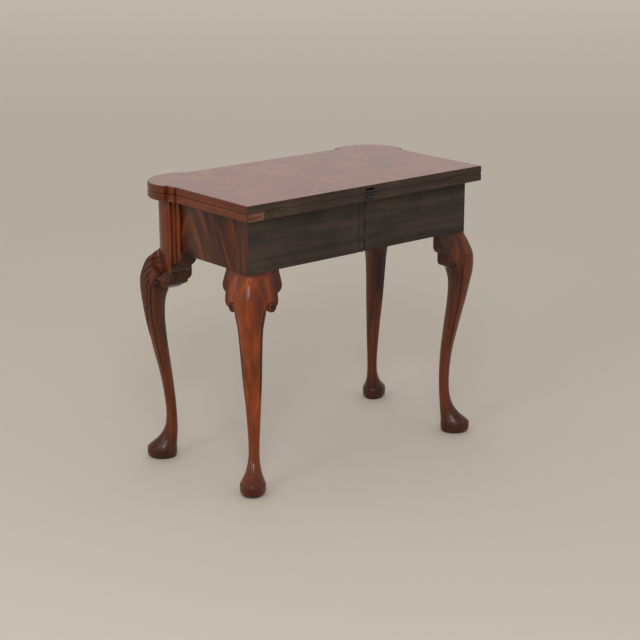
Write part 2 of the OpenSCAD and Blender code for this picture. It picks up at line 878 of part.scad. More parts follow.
module front_bracket_at_front() {
    base = -front_face - front_bracket_out;
    inside = base + 2 * front_bracket_in;
    stop = turret_x - front_bracket_end;
    color(walnut) difference() {
        union() {
            intersection() {
                translate([front_corner[0], base, 0]) rotate([0, 0, 180])
                    bracket_body(front_corner[0] - stop, front_bracket_in, front_swell);
                layer(0, frame_bottom) polygon([
                    [front_corner[0], inside], [stop, inside], [stop, base - bracket_swell],
                    [stop + lobe_step, base - bracket_swell], front_point(volute_back, -volute_side),
                    front_point(volute_back, -volute_side / 2)
                ]);
            }
            front_volute_roll(-1);
        }
        at_front_corner() skin(knee_part(front_rings), slip);
        apron_room();
        other_bracket_room(-1);
    }
}

module bracket_front_right_end() { front_bracket_at_end(); }
module bracket_front_right_front() { front_bracket_at_front(); }
module bracket_front_left_end() { mirror([1, 0, 0]) front_bracket_at_end(); }
module bracket_front_left_front() { mirror([1, 0, 0]) front_bracket_at_front(); }

// Blocks glued into the two back corners of the carcass
module corner_blocks() {
    x1 = end_face - veneer_t - rail_t;
    color(pine) both_ends() span(
        [x1 - corner_block_w, inner_y - corner_block_w, frame_top - corner_block_h],
        [x1, inner_y, frame_top]
    );
}

module top_blocks() {
    color(pine) for (p = top_block_places)
        translate([p[0], p[1], frame_top - block_w]) rotate([0, 0, p[2]]) difference() {
            translate([-block_l / 2, -block_w / 2, 0]) cube([block_l, block_w, block_w]);
            translate([0, 0, -past]) cylinder(r = wood_screw_r + slip, h = block_w + 2 * past);
            cylinder(r1 = wood_screw_head_r, r2 = wood_screw_r, h = wood_screw_head_h);
        }
}

module top_screw_places() {
    for (p = top_block_places) translate([p[0], p[1], frame_top - block_w]) children();
}

module top_screws() {
    color("dimgray") top_screw_places() {
        cylinder(r1 = wood_screw_head_r - slip, r2 = wood_screw_r, h = wood_screw_head_h);
        cylinder(r = wood_screw_r, h = block_w + top_screw_bite);
    }
}

// Screws from inside the carcass through the inner back rail into the fixed fly rail
module fly_screw_places() {
    for (x = fly_screw_x) for (z = fly_screw_z)
        translate([x, inner_y, z]) rotate([-90, 0, 0]) children();
}

module fly_screw_hole(depth) {
    cylinder(r1 = wood_screw_head_r, r2 = wood_screw_r, h = wood_screw_head_h);
    translate([0, 0, -past]) cylinder(r = wood_screw_r + slip, h = depth + 2 * past);
}

module fly_rail_screws() {
    color("dimgray") fly_screw_places() {
        cylinder(r1 = wood_screw_head_r - slip, r2 = wood_screw_r, h = wood_screw_head_h);
        cylinder(r = wood_screw_r, h = rail_t + fly_screw_bite);
    }
}

lower_leaf();
upper_leaf();
top_veneer();
baize_lower();
baize_upper();
register_tongue();
edge_patch();
hinge_lower_right();
hinge_lower_left();
hinge_upper_right();
hinge_upper_left();
hinge_pin_right();
hinge_pin_left();
hinge_screws_lower();
hinge_screws_upper();
front_rail();
end_rail_right();
end_rail_left();
inner_back_rail();
fixed_fly_rail();
swing_fly_rail();
knuckle_pin();
front_veneer();
end_veneer_right();
end_veneer_left();
turret_block_right();
turret_block_left();
strip_right_end();
strip_right_front();
strip_left_end();
strip_left_front();
front_leg_right();
front_leg_left();
back_leg_right();
swing_leg();
bracket_front_right_end();
bracket_front_right_front();
bracket_front_left_end();
bracket_front_left_front();
bracket_back_right_end();
bracket_back_right_back();
bracket_swing_end();
bracket_swing_back();
corner_blocks();
top_blocks();
top_screws();
fly_rail_screws();
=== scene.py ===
"""A fold-over games table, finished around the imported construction."""
import math

import bmesh
import bpy
import numpy as np
from mathutils import Matrix, Vector
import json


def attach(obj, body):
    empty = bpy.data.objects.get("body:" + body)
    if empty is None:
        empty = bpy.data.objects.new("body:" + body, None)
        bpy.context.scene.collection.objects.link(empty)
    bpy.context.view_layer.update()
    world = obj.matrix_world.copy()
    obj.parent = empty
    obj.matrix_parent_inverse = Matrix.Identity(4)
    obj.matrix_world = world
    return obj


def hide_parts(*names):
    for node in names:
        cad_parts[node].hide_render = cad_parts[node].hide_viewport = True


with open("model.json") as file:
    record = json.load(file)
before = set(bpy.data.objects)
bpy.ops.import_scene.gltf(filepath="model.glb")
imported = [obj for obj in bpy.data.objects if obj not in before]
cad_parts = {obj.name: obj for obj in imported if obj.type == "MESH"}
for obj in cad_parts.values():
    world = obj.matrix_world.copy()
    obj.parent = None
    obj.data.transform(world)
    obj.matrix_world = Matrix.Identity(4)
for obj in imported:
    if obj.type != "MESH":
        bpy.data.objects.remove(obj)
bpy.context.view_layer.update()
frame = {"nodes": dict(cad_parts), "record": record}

# The view is from behind the table's right end, from a little above the top,
# through the long lens that the photograph was taken with.
AZIMUTH, ELEVATION, ROLL = 140.154, 16.475, -0.13
EYE = Vector((2.496186, 3.014445, 1.490404))
SENSOR_W, FOCAL_PX, PHOTO_W = 36.0, 1587.897, 640


def put(name, data):
    """A new object in the scene."""
    made = bpy.data.objects.new(name, data)
    bpy.context.scene.collection.objects.link(made)
    return made


camera = put("camera", bpy.data.cameras.new("camera"))
camera.data.sensor_width = SENSOR_W
camera.data.lens = FOCAL_PX * SENSOR_W / PHOTO_W
camera.data.clip_end = 100
az, el, roll = (math.radians(a) for a in (AZIMUTH, ELEVATION, ROLL))
back = Vector((math.sin(az) * math.cos(el), -math.cos(az) * math.cos(el), math.sin(el)))
right = Vector((0, 0, 1)).cross(back).normalized()
up = back.cross(right)
seen_right = math.cos(roll) * right + math.sin(roll) * up
seen_up = -math.sin(roll) * right + math.cos(roll) * up
camera.matrix_world = Matrix.Translation(EYE) @ Matrix((seen_right, seen_up, back)).transposed().to_4x4()
bpy.context.scene.camera = camera
bpy.context.scene.view_settings.view_transform = "Standard"


# The table stands on a plain pale floor in a bright room: even light from all round,
# a soft window past its right end, a lamp above the viewer, and a wide pale panel across the room.
FLOOR_SIZE, ROOM_LIGHT = 60.0, 0.66


def screen_colour(text):
    """A colour as a screen shows it, in the renderer's own scale."""
    values = [int(text[i:i + 2], 16) / 255 for i in (1, 3, 5)]
    return [v / 12.92 if v <= 0.04045 else ((v + 0.055) / 1.055) ** 2.4 for v in values] + [1.0]


def new_material(name, roughness=0.5, specular=0.5):
    made = bpy.data.materials.new(name)
    made.use_nodes = True
    shader = made.node_tree.nodes["Principled BSDF"]
    shader.inputs["Roughness"].default_value = roughness
    shader.inputs["Specular IOR Level"].default_value = specular
    return made, made.node_tree, shader


def soft_lamp(name, place, target, size, power):
    lamp = put(name, bpy.data.lights.new(name, "AREA"))
    lamp.data.shape = "RECTANGLE"
    lamp.data.size, lamp.data.size_y = size
    lamp.data.energy = power
    lamp.location = place
    lamp.rotation_euler = (Vector(target) - Vector(place)).to_track_quat("-Z", "Y").to_euler()
    lamp.visible_camera = False


floor = put("floor", bpy.data.meshes.new("floor"))
edge = FLOOR_SIZE / 2
floor.data.from_pydata([(-edge, -edge, 0), (edge, -edge, 0), (edge, edge, 0), (-edge, edge, 0)], [], [(0, 1, 2, 3)])
floor_finish, tree, shader = new_material("floor", 0.8, 0.2)
shader.inputs["Base Color"].default_value = screen_colour("#d5ccc0")
floor.data.materials.append(floor_finish)

room = bpy.data.worlds.new("room")
bpy.context.scene.world = room
room.use_nodes = True
around = room.node_tree.nodes["Background"]
around.inputs["Color"].default_value = screen_colour("#eeeae6")
around.inputs["Strength"].default_value = ROOM_LIGHT
soft_lamp("window", (3.4, 0.6, 2.2), (0, 0, 0.45), (0.9, 1.4), 14)
soft_lamp("above", (2.3, 2.8, 2.9), (0, 0, 0.4), (1.1, 0.9), 44)
soft_lamp("across", (-9.6, -11.5, 6.2), (0, 0, 0.7), (21.0, 9.0), 335)


# The carcass inside is of plain pine: front, end and inner back rails, tenoned and glued,
# with corner blocks and screw blocks behind them, all unpolished.
MM = 0.001
ALONG_X, ALONG_Y, ALONG_Z = (0, math.pi / 2, 0), (math.pi / 2, 0, 0), (0, 0, 0)
# The darkening colour stands both for old wax and for painted shade.
PORE_SCALE, PORE_RELIEF, WAX_AND_SHADE, WAX_DULLING = 700.0, 0.3, "#2c1b13", 0.2
ARRIS_ANGLE, SHARP_ANGLE = 35, 32
record = frame["record"]


def feed(tree, node, inputs):
    """Sets each input named to its value, or links it to its socket."""
    for name, value in inputs.items():
        if isinstance(value, bpy.types.NodeSocket):
            tree.links.new(value, node.inputs[name])
        else:
            node.inputs[name].default_value = value
    return node


def add(tree, kind, inputs=None, **settings):
    """A new node with its settings, then its inputs."""
    node = tree.nodes.new(kind)
    for name, value in settings.items():
        setattr(node, name, value)
    return feed(tree, node, inputs or {})


def worked(tree, operation, first, second, **settings):
    """Result of a math node on a socket and a number or another socket."""
    return add(tree, "ShaderNodeMath", {0: first, 1: second}, operation=operation, **settings).outputs[0]


def scaled(tree, vector, share):
    """A vector made longer or shorter."""
    return add(tree, "ShaderNodeVectorMath", {0: vector, "Scale": share}, operation="SCALE").outputs[0]


def mapped(tree, source, from_low, from_high, to_low, to_high):
    """A value carried over from one span to another."""
    spans = {"From Min": from_low, "From Max": from_high, "To Min": to_low, "To Max": to_high}
    return add(tree, "ShaderNodeMapRange", {"Value": source, **spans}).outputs[0]


def multiplied(tree, first, second, share):
    """One colour darkened by a share of another; 6 and 7 are a mix node's colour inputs."""
    return add(tree, "ShaderNodeMix", {"Factor": share, 6: first, 7: second},
               data_type="RGBA", blend_type="MULTIPLY").outputs[2]


def noise(tree, place, scale, detail, **more):
    """What a noise texture gives at a place."""
    return add(tree, "ShaderNodeTexNoise", {"Vector": place, "Scale": scale, "Detail": detail, **more}).outputs


def bumped(tree, height, strength, distance):
    """A normal that follows a height, whose full range counts as a distance in mm."""
    inputs = {"Height": height, "Strength": strength, "Distance": distance * MM}
    return add(tree, "ShaderNodeBump", inputs).outputs["Normal"]


def colour_ramp(tree, source, colours):
    """The colour at a value, between stops of (place, colour)."""
    node = add(tree, "ShaderNodeValToRGB", {"Fac": source})
    stops = node.color_ramp.elements
    while len(stops) < len(colours):
        stops.new(0.5)
    for stop, (place, colour) in zip(stops, colours):
        stop.position, stop.color = place, screen_colour(colour)
    return node.outputs["Color"]


def new_group(name, kind, inputs, outputs):
    """A node group with sockets by name and kind, then the sockets it is given and its last node."""
    group = bpy.data.node_groups.new(name, kind)
    for in_out, sockets in (("INPUT", inputs), ("OUTPUT", outputs)):
        for socket, socket_kind in sockets.items():
            group.interface.new_socket(socket, in_out=in_out, socket_type="NodeSocket" + socket_kind)
    return group, add(group, "NodeGroupInput").outputs, add(group, "NodeGroupOutput")


def build_grain_group():
    """Streaks along Z of the vector, the slow drift between them, and fine pores."""
    group, given, last = new_group(
        "wood_grain", "ShaderNodeTree", {"Vector": "Vector", "Bands": "Float", "Length": "Float", "Waviness": "Float"},
        {"Streak": "Float", "Drift": "Float", "Pore": "Float"})
    stretch = add(group, "ShaderNodeCombineXYZ", {"X": 1, "Y": 1, "Z": given["Length"]}).outputs[0]
    drawn_out = add(group, "ShaderNodeVectorMath", {0: given["Vector"], 1: stretch}, operation="MULTIPLY").outputs[0]
    drift = noise(group, given["Vector"], 9, 2)
    wander = scaled(group, drift["Color"], given["Waviness"])
    across = scaled(group, drawn_out, given["Bands"])
    moved = add(group, "ShaderNodeVectorMath", {0: across, 1: wander}, operation="ADD").outputs[0]
    streak = noise(group, moved, 1, 4, Roughness=0.55, Distortion=0.4)
    pore = noise(group, scaled(group, drawn_out, PORE_SCALE), 1, 1)
    feed(group, last, {"Streak": streak["Fac"], "Drift": drift["Fac"], "Pore": pore["Fac"]})
    return group


def build_wax_and_shade_group():
    """Old waxed-in dirt and painted shade: painted shade in corners where the surface turns inwards, and the dirt and
    painted shade that the mesh carries.
    """
    group, given, last = new_group(
        "old_wax", "ShaderNodeTree", {"Reach": "Float", "Amount": "Float", "Color": "Color"},
        {"Color": "Color", "Mask": "Float"})
    # Ambient occlusion darkens the corners: painted shade, which also stands for old waxed-in dirt lodged there.
    corner = add(group, "ShaderNodeAmbientOcclusion", {"Distance": given["Reach"]}, samples=6)
    closed = mapped(group, corner.outputs["AO"], 0.35, 0.85, 1.0, 0.0)
    drawn = add(group, "ShaderNodeAttribute", attribute_name="soil").outputs["Fac"]
    share = worked(group, "MULTIPLY", worked(group, "MAXIMUM", closed, drawn), given["Amount"], use_clamp=True)
    feed(group, last, {"Color": multiplied(group, given["Color"], screen_colour(WAX_AND_SHADE), share), "Mask": share})
    return group


grain_group, wax_and_shade_group = build_grain_group(), build_wax_and_shade_group()


def wood(name, direction, colours, roughness=0.3, bands=48, length=0.06, waviness=0.5, patchy=0.3, bump=0.12,
         soil=0.8, pattern=None, reach=0.006):
    """Timber with its grain in one direction; pattern may bend the coordinates first."""
    made, tree, shader = new_material(name, roughness, 0.42)
    source = add(tree, "ShaderNodeTexCoord").outputs["Object"]
    if pattern:
        source = pattern(tree, source)
    turned = add(tree, "ShaderNodeMapping", {"Vector": source, "Rotation": direction}).outputs[0]
    grain = add(tree, "ShaderNodeGroup", {"Vector": turned, "Bands": bands, "Length": length, "Waviness": waviness},
                node_tree=grain_group).outputs
    patches = worked(tree, "MULTIPLY", worked(tree, "SUBTRACT", grain["Drift"], 0.5), patchy)
    tint = colour_ramp(tree, worked(tree, "ADD", grain["Streak"], patches), colours)
    pored = multiplied(tree, tint, mapped(tree, grain["Pore"], 0.28, 0.42, 0.55, 1.0), 1)
    # The colour is darkened by old waxed-in dirt and by painted shade, and dulled with them.
    waxed_and_shaded = add(tree, "ShaderNodeGroup", {"Color": pored, "Amount": soil, "Reach": reach},
              node_tree=wax_and_shade_group).outputs
    dull = mapped(tree, waxed_and_shaded["Mask"], 0, 1, roughness, min(roughness + WAX_DULLING, 1))
    relief = bumped(tree, grain["Pore"], bump, PORE_RELIEF)
    feed(tree, shader, {"Base Color": waxed_and_shaded["Color"], "Roughness": dull, "Normal": relief})
    return made


def stand_for(piece, node):
    """The piece takes the place of a CAD node, with its body."""
    body = next(b for b, members in record["behaviour"]["bodies"].items() if node in members)
    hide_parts(node)
    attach(piece, body)


def settle(piece):
    """Turns a piece with live modifiers into a plain one."""
    bpy.context.view_layer.update()
    done = bpy.data.meshes.new_from_object(piece.evaluated_get(bpy.context.evaluated_depsgraph_get()))
    piece.modifiers.clear()
    piece.data = done


def give(mesh, finishes):
    """Leaves a mesh with these materials only."""
    mesh.materials.clear()
    for finish in finishes:
        mesh.materials.append(finish)


def smoothed(piece, sharp=SHARP_ANGLE):
    """Smooth shading, broken where faces meet at more than an angle."""
    piece.data.shade_smooth()
    piece.data.set_sharp_from_angle(angle=math.radians(sharp))
    return piece


def eased(names, finish, arris=0.7):
    """CAD pieces with their sharp arrises rounded a little, as sandpaper and wear leave them."""
    for name in names:
        mesh = frame["nodes"][name].data.copy()
        work = bmesh.new()
        work.from_mesh(mesh)
        bmesh.ops.remove_doubles(work, verts=work.verts, dist=0.01 * MM)
        bmesh.ops.dissolve_limit(work, angle_limit=math.radians(0.5), verts=work.verts, edges=work.edges)
        work.to_mesh(mesh)
        work.free()
        give(mesh, [finish])
        piece = put(name + "_eased", mesh)
        bevel = piece.modifiers.new("arris", "BEVEL")
        bevel.width, bevel.segments, bevel.limit_method = arris * MM, 2, "ANGLE"
        bevel.angle_limit = math.radians(ARRIS_ANGLE)
        settle(piece)
        stand_for(smoothed(piece), name)


PINE = [(0.25, "#7d5a33"), (0.5, "#a27a48"), (0.75, "#ba9360")]
for name, direction, nodes in (
        ("pine_long", ALONG_X, ["front_rail", "inner_back_rail", "top_blocks", "corner_blocks"]),
        ("pine_across", ALONG_Y, ["end_rail_right", "end_rail_left"])):
    eased(nodes, wood(name, direction, PINE, roughness=0.75, bands=40, length=0.07))


# The friezes are faced with thick crotch-figured walnut veneer, whose flame rises in the
# middle of each panel and falls away to both sides, under an old waxed polish.
CROTCH = [(0.26, "#260e07"), (0.40, "#37150a"), (0.54, "#4b200d"), (0.66, "#642e0f"), (0.82, "#84451a")]
FEATHER_RISE, FEATHER_SHIFT, FEATHER_NARROW, FEATHER_BEND = 0.22, 0.3, 8, 1.1
END_FEATHER_Y, VENEER_ARRIS = -0.048, 0.3


def feather(axis, middle):
    """Bends the grain into a flame that falls away on both sides of a middle line."""
    def bend(tree, source):
        parts = add(tree, "ShaderNodeSeparateXYZ", {0: source}).outputs
        side = worked(tree, "ABSOLUTE", worked(tree, "SUBTRACT", parts[axis], middle), 0)
        rise = worked(tree, "POWER", worked(tree, "MULTIPLY", side, FEATHER_NARROW), FEATHER_BEND)
        lowered = worked(tree, "ADD", parts["Z"], FEATHER_SHIFT)
        height = worked(tree, "ADD", lowered, worked(tree, "MULTIPLY", rise, FEATHER_RISE))
        return add(tree, "ShaderNodeCombineXYZ", {"X": height, "Z": side}).outputs[0]
    return bend


for name, axis, middle, nodes in (("end_crotch", "Y", END_FEATHER_Y, ["end_veneer_right", "end_veneer_left"]),
                                  ("front_crotch", "X", 0.0, ["front_veneer"])):
    figure = wood(name, ALONG_Z, CROTCH, bands=22, length=0.3, waviness=2.0, patchy=1.2, bump=0.08,
                  pattern=feather(axis, middle))
    eased(nodes, figure, VENEER_ARRIS)


# The round corner blocks hang below the frame in points, and thin strips step back from
# them to the friezes: all of upright red-brown walnut, waxed.
RED_WALNUT = [(0.24, "#411706"), (0.40, "#5c240a"), (0.54, "#73310c"), (0.66, "#833b10"), (0.80, "#954e1d")]
TURRET = (297.5, -127)
walnut_turret = wood("walnut_turret", ALONG_Z, RED_WALNUT, reach=0.003)
eased(["turret_block_right", "turret_block_left"], walnut_turret, 0.8)
eased([f"strip_{side}_{face}" for side in ("right", "left") for face in ("end", "front")], walnut_turret, 0.8)


# The back is a pair of thick outer rails of dark, dry wood that meet in a five-fingered
# wooden knuckle on an iron pin: the left one is hinged there and swings with its leg.
DRY = [(0.25, "#221b15"), (0.45, "#322921"), (0.6, "#3d332a"), (0.8, "#4d3f32")]
dry_back = wood("dry_back", ALONG_X, DRY, roughness=0.62, bands=60, length=0.05, waviness=0.6, patchy=0.7, bump=0.35,
                soil=0.6)
eased(["fixed_fly_rail", "swing_fly_rail"], dry_back, 0.6)
eased(["register_tongue"], dry_back, 0.4)


def tarnished(name, clean, dark, roughness, scale):
    """Old metal: dark tarnish in blotches, duller where it is thick, rubbed clean between."""
    made, tree, shader = new_material(name, roughness)
    place = add(tree, "ShaderNodeTexCoord").outputs["Object"]
    blotch = noise(tree, place, scale, 5, Roughness=0.65)["Fac"]
    feed(tree, shader, {"Base Color": colour_ramp(tree, blotch, [(0.38, dark), (0.66, clean)]),
                        "Metallic": mapped(tree, blotch, 0.4, 0.62, 0.35, 1.0),
                        "Roughness": mapped(tree, blotch, 0.4, 0.62, roughness + 0.25, roughness),
                        "Normal": bumped(tree, blotch, 0.25, 0.2)})
    return made


iron = tarnished("iron", "#5b5650", "#3a2a20", 0.45, 260)
give(frame["nodes"]["knuckle_pin"].data, [iron])


# Four cabriole legs, each sawn and carved from one walnut post: a swelling knee, a slim
# shank that leans out, and a round pad foot on a thick pad. A bead and groove runs down
# both edges of every leg from the knee scrolls, and acanthus is carved on the front knees.
LEG_TOP, FRAME_TOP = 549.0, 682
BACK_CORNER, BACK_TURN = (348.75, 185.75), 45
FRONT_CORNER, FRONT_TURN = (373.68, -180.34), -35
# Stations: share of the leg's height, centre from the corner, half depth, half width, squareness
KNEE_BACK = [
    [1.000, -31.8, 31.8, 31.8, 1.08], [0.985, -30, 32, 33, 1.22], [0.942, -24, 38, 38, 1.48],
    [0.889, -15.5, 40.5, 41, 1.48],
]
KNEE_FRONT = [
    [1.000, -52, 32, 30, 1.30], [0.985, -44, 34, 33, 1.30], [0.955, -28, 38, 37, 1.30],
    [0.922, -20, 40, 40, 1.35], [0.875, -13, 40, 41, 1.40],
]
SHANK = [
    [0.820, -10.5, 36, 36.5, 1.45], [0.758, -9.6, 29, 30.6, 1.50], [0.661, -16, 24, 27, 1.55],
    [0.536, -28, 19.6, 23.8, 1.65], [0.408, -39, 15.6, 19.4, 1.80], [0.300, -43.2, 13.8, 16, 1.95],
    [0.215, -42.8, 13.5, 13.7, 2], [0.149, -38, 16, 14, 2], [0.100, -28.5, 23.5, 18.5, 2],
    [0.072, -19, 31.5, 25, 2],
]
FOOT = [
    [0.056, -13.5, 36.3, 30, 2], [0.050, -12.7, 37.6, 31.3, 2], [0.040, -12.5, 37.9, 31.6, 2],
    [0.018, -12.5, 37.4, 31, 2], [0.008, -13.5, 35, 28.5, 2], [0.000, -15, 31, 25, 2],
]
FRONT_LEAN, LEAN_FROM, LEAN_OVER = 12, 0.13, 0.77
# Angles between which a leg's points stand closest, for the groove, and steps of its upper rings
CLOSE_ANGLES, FRONT_STEP, BACK_STEP = (58, 78), 1.3, 2.0
# The groove is darkened in and beside it, painted shade.
GROOVE_ANGLE, GROOVE_DEPTH, GROOVE_WIDTH, GROOVE_SHADE_WIDTH = 68.0, 2.0, 1.4, 3.36
GROOVE_ENDS = (0.40, 0.47, 0.835, 0.86)
BEAD_OFF, BEAD_RISE, BEAD_WIDTH = 3.0, 0.5, 1.3
# The knee's notch is darkened, painted shade.
NOTCH_ENDS, NOTCH_DEPTH, NOTCH_WIDTH, NOTCH_SHADE = (529, 533, 544, 548), 2.8, 1.5, 1.2
# The line round the pad is darkened, painted shade.
PAD_LINE_Z, PAD_LINE_DEPTH, PAD_LINE_WIDTH, PAD_LINE_SHADE_WIDTH = 30.5, 0.9, 1.2, 1.6
# Darkening painted on the legs, its amount, and the heights or angles that it fades between: darker towards the floor
# and over the feet; painted shade in the pad line, on the inner side, on the knee's sides and in the carved ground;
# painted shade with stain on the knee's top under the frame
FLOOR_DARKENING, FOOT_DARKENING, PAD_DARKENING, PAD_LINE_SHADE = (0.75, 3, 14), (0.5, 40, 85), (0.22, 24, 34), 0.8
INNER_SHADE, INNER_TURN, INNER_FADE, INNER_END = 0.5, (64, 76), (200, 360), (440, 462)
KNEE_SIDE_SHADE, KNEE_TURN, KNEE_FADE, KNEE_TOP_STAIN_AND_SHADE, TOP_FADE = 0.3, (30, 72), (430, 480), 0.9, (539, 548)
GROUND_SHADE, GROUND_FADE = 0.95, (0.3, 1.6)
# The carved ground's depth, and the angles where it ends beside the groove
FROND_DEPTH, FROND_END, FROND_STEPS = 2.3, (66, 76), 34
# Carved fronds: height of root and of tip, reach to the side, half width
FRONDS = [(498, 540, 20, 5), (476, 530, 31, 6), (450, 508, 35, 6.5), (423, 482, 33, 6.5), (396, 454, 28, 6),
          (369, 425, 22, 5.5), (343, 395, 16, 4.8), (318, 366, 10, 4)]
VEIN_DEPTH, VEIN_WIDTH = 0.4, 0.9
STEM_WIDTH, STEM_ENDS, STEM_GROUND, STEM_GROUND_ENDS = 2.2, (300, 330, 528, 534), 4.5, (296, 320, 530, 536)
# Lower edge of the turret aprons: along from the turret's centre, and depth below the frame
APRON = [(-47, 0), (-38, 18), (-23, 39), (-10, 49), (11, 54), (20.2, 54), (20.2, 30), (33, 24), (43, 11), (43, 0)]
FRAME_R, FRAME_ARC, STRIP_ENDS, STRIP_FACES, FRIEZE_OUT = 71, 20.2, (31.4, 43), (62.5, 57), 51.25
KNEE_PROUD, KNEE_EASE, APRON_GAP = 14, 14, 0.4


def ease(x, low, high):
    t = np.clip((x - low) / (high - low), 0, 1)
    return t * t * (3 - 2 * t)


def within(x, rise_from, rise_to, fall_from, fall_to):
    """1 inside a span and 0 outside it, with soft ends."""
    return ease(x, rise_from, rise_to) * (1 - ease(x, fall_from, fall_to))


def low_down(x, amount, low, high):
    """An amount that fades out between a low and a high value."""
    return amount * (1 - ease(x, low, high))


def ring_step(z, fine):
    """Height between a leg's rings: closest at the foot, and fine again from the upper shank."""
    return 1.1 if z < 45 else (3.0 if z < 220 else (fine if z > 300 else 2.4))


def rings_through(stations, fine):
    """Smooth rings through the stations."""
    s = np.array(stations, dtype=float)
    rings = []
    for i in range(len(s) - 1):
        a, b, c, d = s[max(i - 1, 0)], s[i], s[i + 1], s[min(i + 2, len(s) - 1)]
        steps = max(2, round((b[0] - c[0]) * LEG_TOP / ring_step(b[0] * LEG_TOP, fine)))
        for k in range(steps):
            t = k / steps
            rings.append(0.5 * (2 * b + (c - a) * t + (2 * a - 5 * b + 4 * c - d) * t * t
                                + (3 * b - a - 3 * c + d) * t ** 3))
    rings.append(s[-1])
    return np.array(rings)


def carved_fronds(across, height):
    """Height of the carved acanthus, 0 to 1, and how deep its ground is sunk, 0 to 1."""
    raised, sunk = np.zeros_like(across), np.zeros_like(across)
    side = np.abs(across)
    for root, tip, reach, half in FRONDS:
        # A frond climbs to the side, droops at its tip and swells in lobes; a vein is cut along it
        for t in np.linspace(0, 1, FROND_STEPS):
            x = reach * t ** 0.75
            z = root + (tip - root) * (t ** 0.9) - 0.3 * max(t - 0.75, 0) * (tip - root)
            wide = half * (0.35 + 0.85 * math.sin(math.pi * min(0.12 + 0.83 * t, 1)) ** 0.8)
            wide *= 1 - 0.22 * abs(math.sin(4 * math.pi * t))
            off = np.hypot(side - x, height - z) / wide
            raised = np.maximum(raised, np.sqrt(np.clip(1 - off ** 2, 0, 1)))
            sunk = np.maximum(sunk, np.clip(1.7 - off, 0, 0.5) * 2)
        along = np.clip((height - root) / (tip - root), 0, 1)
        near = np.exp(-((side - reach * along ** 0.83) / VEIN_WIDTH) ** 2) * (height > root) * (height < tip - 6)
        raised = raised - VEIN_DEPTH * near * (raised > 0.3)
    raised = np.maximum(raised, np.exp(-(side / STEM_WIDTH) ** 2) * within(height, *STEM_ENDS))
    sunk = np.maximum(sunk, np.exp(-(side / STEM_GROUND) ** 4) * within(height, *STEM_GROUND_ENDS))
    return np.clip(raised, 0, 1), np.clip(sunk, 0, 1)


def apron_distance(along, depth):
    """Distance below the apron's edge; negative behind the apron."""
    near = np.full(np.shape(along), 1e3)
    for (x0, y0), (x1, y1) in zip(APRON, APRON[1:]):
        span = (x1 - x0) ** 2 + (y1 - y0) ** 2
        t = np.clip(((along - x0) * (x1 - x0) + (depth - y0) * (y1 - y0)) / span, 0, 1)
        near = np.minimum(near, np.hypot(along - x0 - t * (x1 - x0), depth - y0 - t * (y1 - y0)))
    hang = np.where(along < FRAME_ARC, np.interp(along, *zip(*APRON[:6])), np.interp(along, *zip(*APRON[6:])))
    return np.where(depth < hang, -near, near)


def apron_face(along):
    """Distance of the apron's face from the turret's centre: round, then two strips and the frieze."""
    steps = np.where(along < STRIP_ENDS[0], STRIP_FACES[0], np.where(along < STRIP_ENDS[1], STRIP_FACES[1], FRIEZE_OUT))
    return np.where(along < FRAME_ARC, np.sqrt(np.clip(FRAME_R ** 2 - along ** 2, 0, None)), steps)


def beside_aprons(x, y, z):
    """Draws a knee in to the two aprons of its turret, with a round arris along them."""
    for side in (0, 1):
        along, out = (y - TURRET[1], x - TURRET[0]) if side == 0 else (TURRET[0] - x, TURRET[1] - y)
        off = apron_distance(along, LEG_TOP - z)
        t = np.clip(off / KNEE_EASE, 0, 0.999)
        limit = apron_face(along) - APRON_GAP + KNEE_PROUD * (np.sqrt(t) + 3 * t ** 2 / (1 - t))
        out = np.where(out > 0, np.minimum(out, limit), out)
        x, y = (TURRET[0] + out, y) if side == 0 else (x, TURRET[1] - out)
    return x, y


def out_from(corner, turn, x, y):
    """A point x along and y across a direction from a corner."""
    c, s = math.cos(math.radians(turn)), math.sin(math.radians(turn))
    return corner[0] + x * c - y * s, corner[1] + x * s + y * c


def tube_faces(rings, around):
    """Faces of a tube through rings of points, closed at both ends."""
    faces = [(i * around + k, i * around + (k + 1) % around, (i + 1) * around + (k + 1) % around, (i + 1) * around + k)
             for i in range(rings - 1) for k in range(around)]
    return faces + [tuple(range(around)), tuple((rings - 1) * around + k for k in range(around))]


